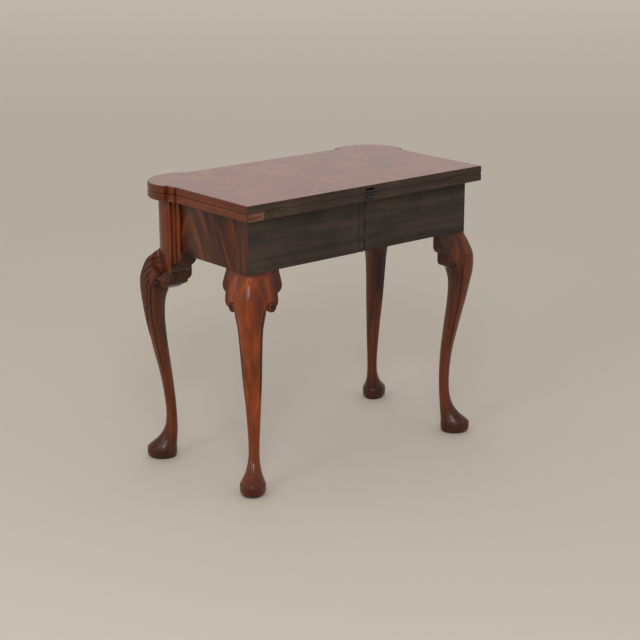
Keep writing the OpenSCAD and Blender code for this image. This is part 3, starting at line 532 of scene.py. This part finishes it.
def leg_shell(stations, corner, turn, at_front, mirrored):
    """Points, faces and darkening of one leg below its post: dirt and painted shade."""
    low, high = CLOSE_ANGLES
    front = np.arange(0, low, 1.0) if at_front else np.linspace(0, low, 20, endpoint=False)
    half = np.concatenate([front, np.linspace(low, high, 26, endpoint=False), np.linspace(high, 180, 34)])
    angles = np.radians(np.concatenate([half, -half[-2:0:-1]]))
    rings = rings_through(stations, FRONT_STEP if at_front else BACK_STEP)
    share, centre, deep, wide, power = (rings[:, i:i + 1] for i in range(5))
    ca, sa = np.cos(angles)[None, :], np.sin(angles)[None, :]
    ux, uy = np.sign(ca) * np.abs(ca) ** (2 / power), np.sign(sa) * np.abs(sa) ** (2 / power)
    nx = np.sign(ux) * np.abs(ux) ** (power - 1) / deep
    ny = np.sign(uy) * np.abs(uy) ** (power - 1) / wide
    size = np.hypot(nx, ny)
    x, y = centre + deep * ux, wide * uy
    z = share * LEG_TOP + 0 * x
    turned = np.degrees(np.abs(angles))[None, :]
    round_r = np.sqrt((deep ** 2 + wide ** 2) / 2)
    off = (turned - GROOVE_ANGLE) * math.pi / 180 * round_r
    runs = within(share, *GROOVE_ENDS)
    groove, bead = np.exp(-(off / GROOVE_WIDTH) ** 2), np.exp(-((off - BEAD_OFF) / BEAD_WIDTH) ** 2)
    depth = (GROOVE_DEPTH * groove - BEAD_RISE * bead) * runs
    # Painted shade on the leg's inner side, turned from the light, with some stain.
    inner = INNER_SHADE * ease(z, *INNER_FADE) * ease(turned, *INNER_TURN)
    inner = inner if at_front else low_down(z, inner, *INNER_END)
    # Painted shade in and beside the groove.
    soil = np.maximum(np.exp(-(off / GROOVE_SHADE_WIDTH) ** 2) * runs, inner)
    beside_line = z - PAD_LINE_Z
    depth += PAD_LINE_DEPTH * np.exp(-(beside_line / PAD_LINE_WIDTH) ** 2)
    # Painted shade in the line round the pad.
    line_shade = PAD_LINE_SHADE * np.exp(-(beside_line / PAD_LINE_SHADE_WIDTH) ** 2)
    # Darker towards the floor and over the feet.
    soil = np.maximum(soil, line_shade + low_down(z, *FLOOR_DARKENING))
    soil = np.maximum(soil, low_down(z, *FOOT_DARKENING) + low_down(z, *PAD_DARKENING))
    if at_front:
        raised, sunk = carved_fronds(round_r * np.radians(turned) * 0.95, z)
        cut = FROND_DEPTH * sunk * (1 - raised) * (1 - ease(turned, *FROND_END))
        depth += cut
        # Painted shade in the carved ground.
        soil = np.maximum(soil, GROUND_SHADE * ease(cut, *GROUND_FADE))
    else:
        # Painted shade in the knee's notch and on the knee's sides, and painted shade with stain on the knee's top
        # under the frame.
        notch = within(z, *NOTCH_ENDS) * np.exp(-(y / NOTCH_WIDTH) ** 2) * (turned < 60)
        depth += NOTCH_DEPTH * notch
        soil = np.maximum(soil, np.maximum(NOTCH_SHADE * notch, KNEE_TOP_STAIN_AND_SHADE * ease(z, *TOP_FADE)))
        soil = np.maximum(soil, KNEE_SIDE_SHADE * ease(turned, *KNEE_TURN) * ease(z, *KNEE_FADE))
    x, y = out_from(corner, turn, x - depth * nx / size, y - depth * ny / size)
    if at_front:
        x, y = beside_aprons(x, y, z)
    points = np.stack([-x if mirrored else x, y, z], -1).reshape(-1, 3)
    return points, tube_faces(*x.shape), soil.reshape(-1)


def box_shell(low, high):
    """A block as points, faces and no darkening."""
    points = [(x, y, z) for x in (low[0], high[0]) for y in (low[1], high[1]) for z in (low[2], high[2])]
    return points, [(0, 1, 3, 2), (4, 6, 7, 5), (0, 4, 5, 1), (2, 3, 7, 6), (0, 2, 6, 4), (1, 5, 7, 3)], None


def build(name, shells, finishes, sharp=SHARP_ANGLE):
    """One piece from closed shells of (points in mm, faces, darkening by dirt and painted shade)."""
    mesh = bpy.data.meshes.new(name)
    points, faces, soil = [], [], []
    for shell_points, shell_faces, shell_dirt_and_shade in shells:
        start = len(points)
        points += [tuple(p) for p in shell_points]
        faces += [tuple(start + i for i in f) for f in shell_faces]
        soil += list(shell_dirt_and_shade) if shell_dirt_and_shade is not None else [0.0] * len(shell_points)
    mesh.from_pydata([(x * MM, y * MM, z * MM) for x, y, z in points], [], faces)
    mesh.attributes.new("soil", "FLOAT", "POINT").data.foreach_set("value", np.array(soil, dtype=np.float32))
    work = bmesh.new()
    work.from_mesh(mesh)
    bmesh.ops.recalc_face_normals(work, faces=work.faces)
    work.to_mesh(mesh)
    work.free()
    give(mesh, finishes)
    return smoothed(put(name, mesh), sharp)


def paint(piece, choose):
    """Gives each face the material that choose picks for it."""
    for face in piece.data.polygons:
        face.material_index = choose(face)
    return piece


def leaned(stations):
    """The stations of a front leg, whose shank leans out."""
    out = []
    for share, centre, *rest in stations:
        lean = FRONT_LEAN * max(0, math.sin(math.pi * min((share - LEAN_FROM) / LEAN_OVER, 1)))
        out.append([share, centre + lean, *rest])
    return out


def post_finish(face):
    """1 for a post's face in the plane of the outer rails, 2 for the one beside the end frieze."""
    if face.center.z < (LEG_TOP + 1) * MM or max(face.normal.y, abs(face.normal.x)) < 0.8:
        return 0
    return 1 if face.normal.y > 0.8 else 2


# Posts start a hair inside the leg; the swinging one stops short of the leaf
POST_SUNK, SWING_GAP, BACK_POST = 0.01, 1, 45
FRONT_POST_X, FRONT_POST_Y = (307.75, 343.75), (-173.25, -137.25)
WALNUT = [(0.24, "#5a2308"), (0.40, "#722d09"), (0.54, "#883a0b"), (0.66, "#97430e"), (0.80, "#a6521a")]
# A darker copy of the walnut, painted shade for the legs and brackets that stand farther from the light; the back right
# leg and its brackets take the walnut as lit.
SHADED_WALNUT = [(0.24, "#3e1807"), (0.40, "#522109"), (0.54, "#662c0b"), (0.66, "#73350d"), (0.80, "#834418")]
walnut_up = wood("walnut_up", ALONG_Z, WALNUT, roughness=0.22)
old_walnut = wood("old_walnut", ALONG_Z, SHADED_WALNUT, roughness=0.24)
frieze_stile = wood("frieze_stile", ALONG_Z, CROTCH, bands=60, length=0.08)
# The back right leg takes the walnut as lit, the swing leg the darker copy, painted shade.
for mirrored, node, top in ((False, "back_leg_right", FRAME_TOP), (True, "swing_leg", FRAME_TOP - SWING_GAP)):
    walnut_by_light = old_walnut if mirrored else walnut_up
    shell = leg_shell(KNEE_BACK + SHANK + FOOT, BACK_CORNER, BACK_TURN, False, mirrored)
    x = sorted(((-1) ** mirrored * BACK_CORNER[0], (-1) ** mirrored * (BACK_CORNER[0] - BACK_POST)))
    post = box_shell((x[0], BACK_CORNER[1] - BACK_POST, LEG_TOP - POST_SUNK), (x[1], BACK_CORNER[1], top))
    stand_for(paint(build(node + "_carved", [shell, post], [walnut_by_light, dry_back, frieze_stile]), post_finish), node)
# The front legs take the darker copy of the walnut, painted shade.
for mirrored, node in ((False, "front_leg_right"), (True, "front_leg_left")):
    shell = leg_shell(leaned(KNEE_FRONT + SHANK + FOOT), FRONT_CORNER, FRONT_TURN, True, mirrored)
    x = sorted((-1) ** mirrored * v for v in FRONT_POST_X)
    post = box_shell((x[0], FRONT_POST_Y[0], LEG_TOP - POST_SUNK), (x[1], FRONT_POST_Y[1], FRAME_TOP))
    stand_for(build(node + "_carved", [shell, post], [old_walnut]), node)


# Knee brackets are glued to both sides of every knee and under the rails: two round lobes,
# one above the other, that end in a small rolled scroll against the leg.
LOBE_TIP, LOBE_NEAR, LOBE_IN = 88, 34, 22
UPPER_LOBE_H, UPPER_LOBE_R, LOBE_STEP = 52, 21, 16
BRACKET_H, LOWER_LOBE_R, TOE_DROP = 86, 15, 14
UPPER_BEND, LOWER_BEND, BRACKET_END = UPPER_LOBE_H - UPPER_LOBE_R, BRACKET_H - LOWER_LOBE_R, BRACKET_H + TOE_DROP
SWELL, SWELL_DEPTH, LOBE_ROUND, TOE_IN = 18.5, 78, 2.2, 4
SCROLL_DROP, SCROLL_PROUD, SCROLL_DEEP, SCROLL_BACK, SCROLL_END = 82, 3.5, 3.0, 52, 44
# A scroll's roll winds in, gets thinner and starts at an angle, round a low eye
SCROLL_R, ROLL_AT, ROLL_IN, ROLL_HALF, ROLL_THIN, ROLL_START = 10, 7.3, 2.2, 2.6, 1.1, 235
# The scroll is darkened as painted shade, most in the ground between its turns, in the eye and on the later turns of
# the roll; the roll's first part is left lighter, a painted highlight.
EYE_R, EYE_RISE, EYE_SHADE, ROLL_SHADE = 2.6, 0.85, 0.95, 0.65
# Size of a scroll and depth of its root
BACK_ROLL, FRONT_ROLL = (1.28, 15), (1.12, 24)
# Darkening of the brackets: stained, with painted shade, towards the lobes' tips; painted shade under the rail and on
# the hidden back face.
BACK_STAIN_AND_SHADE, END_STAIN_AND_SHADE, FRONT_STAIN_AND_SHADE, STAIN_AND_SHADE_FADE = 0.95, 0.7, 0.8, (40, 72)
SEAM_SHADE, SEAM_FADE, HIDDEN_SHADE = 0.8, (3, 13), 0.75
# How far the back brackets rise beside the knee, by depth, to meet its surface
KNEE_FILL = [(0, 0), (8, 0.2), (20, 1.1), (30, 1.9), (40, 2.6), (50, 3.3), (60, 3.4), (74, 0)]
FILL_FADE, APRON_FILL, SWING_DROP = (38, 62), 18, 0.4
# The front ones stand out with their turrets: tip, turret centre and plan along from the leg corner
FRONT_BASE, FRONT_IN, FRONT_SWELL, FRONT_SCROLL = 60.75, 42, 36, (-13, 51)
END_PLAN = (90.34, 53.34, [(28, 19), (36, 25), (42, 28), (48, 28.2), (56, 26), (66, 21.5), (74, 18.5), (91, 18.5)])
FRONT_PLAN = (113.18, 76.18, [(25, 6), (32, 15), (38, 21), (46, 23), (60, 22.5), (80, 20), (97, 18.5), (114, 18.5)])


def lobe_reach(depth, tip):
    """How far along the rail a bracket reaches at a depth below it."""
    upper, lower = tip - UPPER_LOBE_R, tip - LOBE_STEP - LOWER_LOBE_R
    if depth <= UPPER_BEND:
        return tip
    if depth <= UPPER_LOBE_H:
        arc = upper + math.sqrt(max(UPPER_LOBE_R ** 2 - (depth - UPPER_BEND) ** 2, 0))
        return max(arc, tip - LOBE_STEP)
    if depth <= LOWER_BEND:
        return tip - LOBE_STEP
    if depth <= BRACKET_H:
        return lower + math.sqrt(max(LOWER_LOBE_R ** 2 - (depth - LOWER_BEND) ** 2, 0))
    return lower - (depth - BRACKET_H) / TOE_DROP * (lower - LOBE_NEAR)


def bracket_shell(place, stain_and_shade, tip=LOBE_TIP, inner=LOBE_IN, swell=SWELL, top_drop=0.0, shape=None):
    """Bracket body; place turns (along the rail, outwards, height) into the table's axes."""
    depths = np.concatenate([np.linspace(top_drop, UPPER_BEND, 24, endpoint=False),
                             np.linspace(UPPER_BEND, UPPER_LOBE_H - 0.4, 20),
                             np.linspace(UPPER_LOBE_H, LOWER_BEND, 16, endpoint=False),
                             np.linspace(LOWER_BEND, BRACKET_H, 18),
                             np.linspace(BRACKET_H + 1, BRACKET_END - 0.5, 8)])
    cols = 1 - (1 - np.linspace(0, 1, 40)) ** 1.5
    reach = np.array([lobe_reach(d, tip) for d in depths])
    s = LOBE_NEAR + cols[None, :] * (reach[:, None] - LOBE_NEAR)
    d = depths[:, None] + 0 * s
    edge_d = np.linspace(0, BRACKET_END, 400)
    edge_s = np.array([lobe_reach(v, tip) for v in edge_d])
    off = np.min(np.hypot(s[..., None] - edge_s, d[..., None] - edge_d), axis=-1)
    arc_r = (swell ** 2 + SWELL_DEPTH ** 2) / (2 * swell)
    out = swell - arc_r + np.sqrt(arc_r ** 2 - (d - SWELL_DEPTH) ** 2)
    if shape:
        out = shape(s, d, out)
    else:
        out = out + low_down(s, np.interp(d, *zip(*KNEE_FILL)), *FILL_FADE)
    rim = np.clip(LOBE_ROUND - off, 0, None)
    out = out - (LOBE_ROUND - np.sqrt(np.clip(LOBE_ROUND ** 2 - rim ** 2, 0, None))) * ease(d, 0, 8)
    out = out - (out + TOE_IN) * ease(d, BRACKET_H + 1, BRACKET_H + 9)
    # Painted shade under the rail; stained, with painted shade, towards the lobes' tips.
    soil = np.maximum(low_down(d, SEAM_SHADE, *SEAM_FADE), stain_and_shade * ease(s, *STAIN_AND_SHADE_FADE))
    rows, count = s.shape
    outer, back = ([place(s[i, k], face[i, k], LEG_TOP - d[i, k]) for i in range(rows) for k in range(count)]
                   for face in (out, 0 * out - inner))
    size = rows * count
    faces = []
    for i in range(rows - 1):
        for k in range(count - 1):
            a = i * count + k
            faces.append((a, a + 1, a + count + 1, a + count))
            faces.append((size + a, size + a + count, size + a + count + 1, size + a + 1))
        for k in (0, count - 1):
            a, b = i * count + k, (i + 1) * count + k
            faces.append((a, b, b + size, a + size))
    for k in range(count - 1):
        for a in (k, (rows - 1) * count + k):
            faces.append((a, a + size, a + 1 + size, a + 1))
    # The hidden back face is darkened, painted shade.
    return outer + back, faces, list(soil.reshape(-1)) + [HIDDEN_SHADE] * size


def scroll_shell(place, size, root):
    """The rolled end of a bracket: a bead that winds in from the leg's edge to a round eye."""
    around, radii = 72, np.concatenate([np.linspace(0.5, 9.2, 30), [9.5, 9.8, SCROLL_R]])
    angles = [2 * math.pi * k / around for k in range(around)]
    points, soil = [place(0, -0.5, 0)], [0.6]
    for r in radii:
        for a in angles:
            wind = (math.radians(ROLL_START) - a) / (2 * math.pi) % 1
            roll = math.sqrt(max(1 - ((r - ROLL_AT + ROLL_IN * wind) / (ROLL_HALF - ROLL_THIN * wind)) ** 2, 0))
            eye = EYE_RISE * math.sqrt(max(1 - (r / EYE_R) ** 2, 0))
            rise = max(roll, eye)
            points.append(place(r * size * math.cos(a), -SCROLL_DEEP * (1 - rise), r * size * math.sin(a)))
            # Painted shade on the scroll, lightest on the first part of the roll as a painted highlight.
            dark = ROLL_SHADE + (1 - ROLL_SHADE) * float(ease(wind, 0.3, 0.5)) if roll > eye else EYE_SHADE
            soil.append(1.0 - rise * (1 - dark))
    for a in angles:
        points.append(place(SCROLL_R * size * math.cos(a), -root, SCROLL_R * size * math.sin(a)))
        soil.append(0.9)
    faces = [(0, 1 + k, 1 + (k + 1) % around) for k in range(around)]
    for i in range(len(radii)):
        for k in range(around):
            a, b = 1 + i * around + k, 1 + i * around + (k + 1) % around
            faces.append((a, a + around, b + around, b))
    last = 1 + len(radii) * around
    faces.append(tuple(last + k for k in range(around)))
    return points, faces, soil


def beside_turret(from_centre, plan):
    """Keeps a front bracket inside its plan and lets it swell out from under the apron."""
    def shape(s, d, out):
        along = s - from_centre
        out = np.minimum(out, np.interp(s, *zip(*plan)))
        face = apron_face(along) - FRONT_BASE - APRON_GAP
        return face + (out - face) * ease(apron_distance(along, d), 0, APRON_FILL)
    return shape


for hand, leg in ((1, "back_right"), (-1, "swing")):
    def at_back(s, o, z):
        return hand * (BACK_CORNER[0] - s), BACK_CORNER[1] + o, z

    def at_end(s, o, z):
        return hand * (BACK_CORNER[0] + o), BACK_CORNER[1] - s, z

    for face, place, scroll, stain_and_shade in (("back", at_back, SCROLL_BACK, BACK_STAIN_AND_SHADE),
                                       ("end", at_end, SCROLL_END, END_STAIN_AND_SHADE)):
        def on_disc(across, out, up):
            return place(scroll + across, SWELL + SCROLL_PROUD + out, LEG_TOP - SCROLL_DROP + up)

        name = f"bracket_{leg}_{face}"
        drop = SWING_DROP if name == "bracket_swing_end" else 0.0
        shells = [bracket_shell(place, stain_and_shade, top_drop=drop), scroll_shell(on_disc, *BACK_ROLL)]
        # The swing leg's brackets take the darker copy of the walnut, painted shade.
        stand_for(build(name + "_carved", shells, [walnut_up if hand > 0 else old_walnut]), name)

for hand, side in ((1, "right"), (-1, "left")):
    def at_end(s, o, z):
        return hand * (TURRET[0] + FRONT_BASE + o), FRONT_CORNER[1] + s, z

    def at_front(s, o, z):
        return hand * (FRONT_CORNER[0] - s), TURRET[1] - FRONT_BASE - o, z

    for face, place, (tip, centre, plan), way in (("end", at_end, END_PLAN, 1), ("front", at_front, FRONT_PLAN, -1)):
        def on_disc(across, out, up):
            x, y = out_from(FRONT_CORNER, FRONT_TURN, FRONT_SCROLL[0] - across, way * (FRONT_SCROLL[1] + out))
            return hand * x, y, LEG_TOP - SCROLL_DROP + up

        # The front brackets are stained, with painted shade, towards their tips, and take the darker copy of the
        # walnut, painted shade.
        body = bracket_shell(place, FRONT_STAIN_AND_SHADE, tip, FRONT_IN, FRONT_SWELL, shape=beside_turret(centre, plan))
        name = f"bracket_front_{side}_{face}"
        stand_for(build(name + "_carved", [body, scroll_shell(on_disc, *FRONT_ROLL)], [old_walnut]), name)


# The two leaves are solid walnut, their front and end edges rounded over at both faces;
# the upper one is hinged at the back and carries the show veneer.
TABLE_H, VENEER_T, JOINT_Z, LEAF_GAP = 720, 0.8, 701, 0.6
TOP_L, TOP_BACK, TOP_FRONT = 375.5, 216, 202
TURRET_R, TURRET_START = 97, 32
STEP_FACES, STEP_STARTS = (82.5, 87), (60.5, 47)
EDGE_INSET, EDGE_ROUND, TURRET_STEPS = 2.2, 4.5, 72


def leaf_outline(g):
    """Plan of a leaf with its front and end edges moved in by g, from the back right corner."""
    cx, cy = TURRET
    r, start = TURRET_R - g, TURRET_START - g
    end, front = TOP_L - g, g - TOP_FRONT
    end_step = (cx + STEP_FACES[0] - g, cy + STEP_STARTS[0] - g)
    front_step = (cx - STEP_STARTS[1] + g, cy - STEP_FACES[1] + g)
    first = math.asin(start / r)
    last = -math.pi / 2 - first
    turns = [first + (last - first) * k / TURRET_STEPS for k in range(TURRET_STEPS + 1)]
    arc = [(cx + r * math.cos(a), cy + r * math.sin(a)) for a in turns]
    half = [(end, TOP_BACK), (end, end_step[1]), end_step, (end_step[0], cy + start)] + arc
    half += [(cx - start, front_step[1]), front_step, (front_step[0], front)]
    return half + [(-x, y) for x, y in reversed(half)]


def leaf_shell(profile):
    """A leaf swept from (inset, height) pairs, from its top down."""
    loops = [[(x, y, z) for x, y in leaf_outline(g)] for g, z in profile]
    return [p for loop in loops for p in loop], tube_faces(len(loops), len(loops[0])), None


def edge_profile(top, bottom):
    """A leaf's edge from its top to its bottom: round over, nearly straight, round under."""
    quarter = np.radians([0, 11, 22, 34, 46, 58, 70, 80, 90])
    over = [(EDGE_INSET * (1 - math.sin(a)), EDGE_ROUND * (1 - math.cos(a))) for a in quarter]
    return [(g, top - down) for g, down in over] + [(g, bottom + down) for g, down in reversed(over)]


def shade_flats(piece):
    """Lets the large flat faces set the shading, so that only the rounded edges turn the light."""
    flats = piece.modifiers.new("flats", "WEIGHTED_NORMAL")
    flats.keep_sharp, flats.weight = True, 100
    settle(piece)
    return piece


def curved_mortise():
    """Room for the tongue in the upper leaf: a curved block round the hinge axis."""
    near, far, half, steps = TONGUE_IN - CLEAR, TONGUE_OUT + CLEAR, TONGUE_HALF + CLEAR, 16
    points = [(TONGUE_X + x, PIN_Y - r * math.sin(turn), JOINT_Z + r * math.cos(turn))
              for turn in np.radians(np.linspace(-8, MORTISE_TURN, steps + 1))
              for x, r in ((-half, near), (half, near), (half, far), (-half, far))]
    return points, tube_faces(steps + 1, 4), None


def cut_from(piece, blocks, others=()):
    """Takes blocks of (lowest corner, highest corner) in mm, and other shells, out of a piece."""
    tool = build("cutter", [box_shell(low, high) for low, high in blocks] + list(others), [])
    taken = piece.modifiers.new("cut", "BOOLEAN")
    taken.operation, taken.solver, taken.object = "DIFFERENCE", "EXACT", tool
    taken.use_self = True
    settle(piece)
    bpy.data.objects.remove(tool)


BAIZE_HALF, BAIZE_FRONT, BAIZE_BACK, BAIZE_T = 317.5, -144, 190, 0.9
HINGE_X, HINGE_HALF, PLATE_D, PLATE_T, BARREL_GAP = 292, 25, 19, 1.6, 2.9
TONGUE_X, TONGUE_HALF, TONGUE_IN, TONGUE_OUT, TONGUE_ROOT = 3, 13, 7.4, 11.8, 13
PIN_Y, MORTISE_TURN, CLEAR = TOP_BACK + 0.25, 56, 0.5
PATCH_X, PATCH_D = (326.3, 373.3), 4
EDGE_COLOURS = [(0.2, "#4a1d0a"), (0.45, "#632a0f"), (0.6, "#6f3213"), (0.8, "#7d401c")]
walnut_edge = wood("walnut_edge", ALONG_Y, EDGE_COLOURS, bands=40, length=0.12, waviness=0.6, bump=0.06, reach=0.004)
BACK_EDGE = [(0.25, "#271c15"), (0.5, "#3a2c23"), (0.75, "#4d3b2e")]
dry_edge = wood("dry_edge", ALONG_X, BACK_EDGE, roughness=0.6, bands=60, length=0.05, waviness=0.6, patchy=0.7,
                bump=0.3, soil=0.7)
TOP_COLOURS = [(0.25, "#5c240e"), (0.42, "#713013"), (0.54, "#7f3819"), (0.66, "#89421f"), (0.80, "#944e29")]
top_figure = wood("top_figure", ALONG_X, TOP_COLOURS, roughness=0.33, bands=60, length=0.5, waviness=4.0, patchy=0.6,
                  bump=0.06)


def leaf_finish(face):
    """0 for the moulded edges and the border, 1 for the dark back edge and the tongue's slot."""
    x, y, z = (v / MM for v in face.center)
    in_slot = y > 200 and abs(x - TONGUE_X) < TONGUE_HALF + 1 and 3 < abs(z - JOINT_Z) < TONGUE_OUT + 1.5
    return 1 if in_slot or (face.normal.y > 0.8 and y > TOP_BACK - 0.5) else 0


for name, top, bottom, up_side in (("lower_leaf", JOINT_Z - LEAF_GAP / 2, FRAME_TOP, -1),
                                   ("upper_leaf", TABLE_H - VENEER_T, JOINT_Z + LEAF_GAP / 2, 1)):
    leaf = build(name + "_moulded", [leaf_shell(edge_profile(top, bottom))], [walnut_edge, dry_edge], sharp=40)
    face_z = JOINT_Z + up_side * LEAF_GAP / 2
    outside = face_z - up_side
    bed = sorted((outside, face_z + up_side * BAIZE_T))
    blocks = [((-BAIZE_HALF, BAIZE_FRONT, bed[0]), (BAIZE_HALF, BAIZE_BACK, bed[1]))]
    for x in (HINGE_X, -HINGE_X):
        bed = sorted((outside, face_z + up_side * PLATE_T))
        groove = sorted((outside, JOINT_Z + up_side * BARREL_GAP))
        blocks.append(((x - HINGE_HALF, TOP_BACK - PLATE_D, bed[0]), (x + HINGE_HALF, TOP_BACK + 1, bed[1])))
        blocks.append(((x - HINGE_HALF - CLEAR, PIN_Y - BARREL_GAP, groove[0]),
                       (x + HINGE_HALF + CLEAR, TOP_BACK + 1.2, groove[1])))
    if up_side < 0:
        blocks.append(((TONGUE_X - TONGUE_HALF - CLEAR, TOP_BACK - TONGUE_ROOT, JOINT_Z - TONGUE_OUT - CLEAR),
                       (TONGUE_X + TONGUE_HALF + CLEAR, TOP_BACK + 1, JOINT_Z - TONGUE_IN + CLEAR)))
        blocks.append(((PATCH_X[0], TOP_BACK - PATCH_D, FRAME_TOP - 2), (PATCH_X[1], TOP_BACK + 1, JOINT_Z)))
    cut_from(leaf, blocks, [curved_mortise()] if up_side > 0 else [])
    stand_for(shade_flats(paint(leaf, leaf_finish)), name)
sheet_edge = [(EDGE_INSET + inset, TABLE_H - down)
              for inset, down in ((0.9, 0), (0.4, 0.15), (0.1, 0.45), (0, VENEER_T))]
stand_for(shade_flats(build("top_veneer_sheet", [leaf_shell(sheet_edge)], [top_figure])), "top_veneer")
BARE = [(0.2, "#371e16"), (0.42, "#4f2c21"), (0.58, "#6a4032"), (0.8, "#8f6353")]
bare_wood = wood("bare_wood", ALONG_X, BARE, roughness=0.75, bands=90, length=0.25, waviness=2.5, patchy=1.2, bump=0.4)
eased(["edge_patch"], bare_wood, 0.3)


# Baize is stretched and glued into a shallow bed in each leaf's inner face, so that the
# table opens to one green playing surface inside a walnut border.
NAP_SCALE, NAP_SHARE, WEAR_SCALE = 900, 0.6, 7
baize, tree, shader = new_material("baize", 0.95, 0.1)
place = add(tree, "ShaderNodeTexCoord").outputs["Object"]
worn, nap = noise(tree, place, WEAR_SCALE, 4)["Fac"], noise(tree, place, NAP_SCALE, 2)["Fac"]
uneven = worked(tree, "MULTIPLY", worked(tree, "SUBTRACT", nap, 0.5), NAP_SHARE)
tint = colour_ramp(tree, worked(tree, "ADD", worn, uneven), [(0.3, "#2a4426"), (0.5, "#35502f"), (0.72, "#4a6038")])
feed(tree, shader, {"Base Color": tint, "Sheen Weight": 0.4, "Normal": bumped(tree, nap, 0.5, 0.3)})
BAIZE_W, BAIZE_L, BAIZE_GAP = 634.4, 333.4, 0.3
for name, leaf_name, up_side in (("baize_lower", "lower_leaf", -1), ("baize_upper", "upper_leaf", 1)):
    face_z = JOINT_Z + up_side * LEAF_GAP / 2
    z = sorted((face_z, face_z + up_side * BAIZE_T))
    cloth = build(name + "_cloth", [box_shell((-BAIZE_W / 2, BAIZE_FRONT + BAIZE_GAP, z[0]),
                                              (BAIZE_W / 2, BAIZE_BACK - BAIZE_GAP, z[1]))], [baize])
    stand_for(cloth, name)


# Two brass hinges are let into the meeting faces of the leaves at the back edge, with
# their barrels showing, and fixed by three brass screws in each plate.
brass = tarnished("brass", "#77653f", "#1f1a13", 0.4, 180)
for name, node in frame["nodes"].items():
    if name.startswith("hinge_") and "screws" not in name:
        give(node.data, [brass])


# Slotted screws, turned and then sawn across: small brass ones hold the hinge plates, and
# iron ones hold the top from inside and the fixed outer rail to the rail behind it.
def screw_model(name, head_r, shank_r, head_h, length, finish):
    """One countersunk screw along Z, its head at the origin with a sawn slot."""
    around, slot = 32, 0.14 * head_r
    profile = [(head_r, 0), (shank_r, head_h), (shank_r, length - shank_r), (0.3 * shank_r, length)]
    angles = [2 * math.pi * k / around for k in range(around)]
    points = [(r * math.cos(a), r * math.sin(a), z) for r, z in profile for a in angles]
    screw = build(name, [(points, tube_faces(len(profile), around), None)], [finish])
    cut_from(screw, [((-head_r - 1, -slot, -1), (head_r + 1, slot, 0.4 * head_h))])
    return screw


def build_screw_set():
    """Sets a model on every point along one direction, each turned to a stop of its own."""
    group, given, last = new_group(
        "screw_set", "GeometryNodeTree",
        {"Geometry": "Geometry", "Model": "Object", "Direction": "Vector", "Finish": "Material"},
        {"Geometry": "Geometry"})
    model = add(group, "GeometryNodeObjectInfo", {"Object": given["Model"]}).outputs["Geometry"]
    placed = add(group, "GeometryNodeInstanceOnPoints",
                 {"Points": given["Geometry"], "Instance": model, "Rotation": given["Direction"]}).outputs[0]
    stop = add(group, "FunctionNodeRandomValue", data_type="FLOAT")
    next(s for s in stop.inputs if s.name == "Max" and s.type == "VALUE").default_value = math.pi
    turn = add(group, "ShaderNodeCombineXYZ", {"Z": next(s for s in stop.outputs if s.type == "VALUE")}).outputs[0]
    twisted = add(group, "GeometryNodeRotateInstances", {"Instances": placed, "Rotation": turn}).outputs[0]
    real = add(group, "GeometryNodeRealizeInstances", {"Geometry": twisted}).outputs[0]
    done = add(group, "GeometryNodeSetMaterial", {"Geometry": real, "Material": given["Finish"]}).outputs[0]
    feed(group, last, {"Geometry": done})
    return group


screw_set = build_screw_set()
UPWARDS, DOWNWARDS, TO_BACK = (0, 0, 0), (math.pi, 0, 0), (-math.pi / 2, 0, 0)
SCREW_Y, RAIL_Y, BLOCK_Z = 204.5, 137.75, 660
BLOCK_X, END_BLOCK_X, FRONT_BLOCK_Y, BACK_BLOCK_Y = 180, 314.95, -144.45, 126.75
hinge_places = [(s * HINGE_X + i * 2 * HINGE_HALF / 3, SCREW_Y) for s in (-1, 1) for i in (-1, 0, 1)]
top_places = [(x, y, BLOCK_Z) for x, y in (
    (-BLOCK_X, FRONT_BLOCK_Y), (0, FRONT_BLOCK_Y), (BLOCK_X, FRONT_BLOCK_Y), (-BLOCK_X, BACK_BLOCK_Y),
    (BLOCK_X, BACK_BLOCK_Y), (-END_BLOCK_X, 0), (END_BLOCK_X, 0))]
rail_places = [(x, RAIL_Y, z) for x in (60, 160, 260) for z in (584, 647)]
small, large, long = (screw_model(*sizes) for sizes in (
    ("brass_screw", 2.5, 1.35, 1.4, 11, brass), ("iron_screw", 3.9, 1.95, 2.2, 33, iron),
    ("long_iron_screw", 3.9, 1.95, 2.2, 37, iron)))
for name, model, direction, finish, places in (
        ("hinge_screws_lower", small, DOWNWARDS, brass, [(x, y, JOINT_Z - LEAF_GAP / 2) for x, y in hinge_places]),
        ("hinge_screws_upper", small, UPWARDS, brass, [(x, y, JOINT_Z + LEAF_GAP / 2) for x, y in hinge_places]),
        ("top_screws", large, UPWARDS, iron, top_places), ("fly_rail_screws", long, TO_BACK, iron, rail_places)):
    piece = put(name + "_slotted", bpy.data.meshes.new(name + "_slotted"))
    piece.data.from_pydata([(x * MM, y * MM, z * MM) for x, y, z in places], [], [])
    nodes = piece.modifiers.new("set", "NODES")
    nodes.node_group = screw_set
    sockets = {s.name: s.identifier for s in screw_set.interface.items_tree if s.in_out == "INPUT"}
    nodes[sockets["Model"]], nodes[sockets["Direction"]], nodes[sockets["Finish"]] = model, direction, finish
    settle(piece)
    stand_for(piece, name)
for model in (small, large, long):
    bpy.data.objects.remove(model)
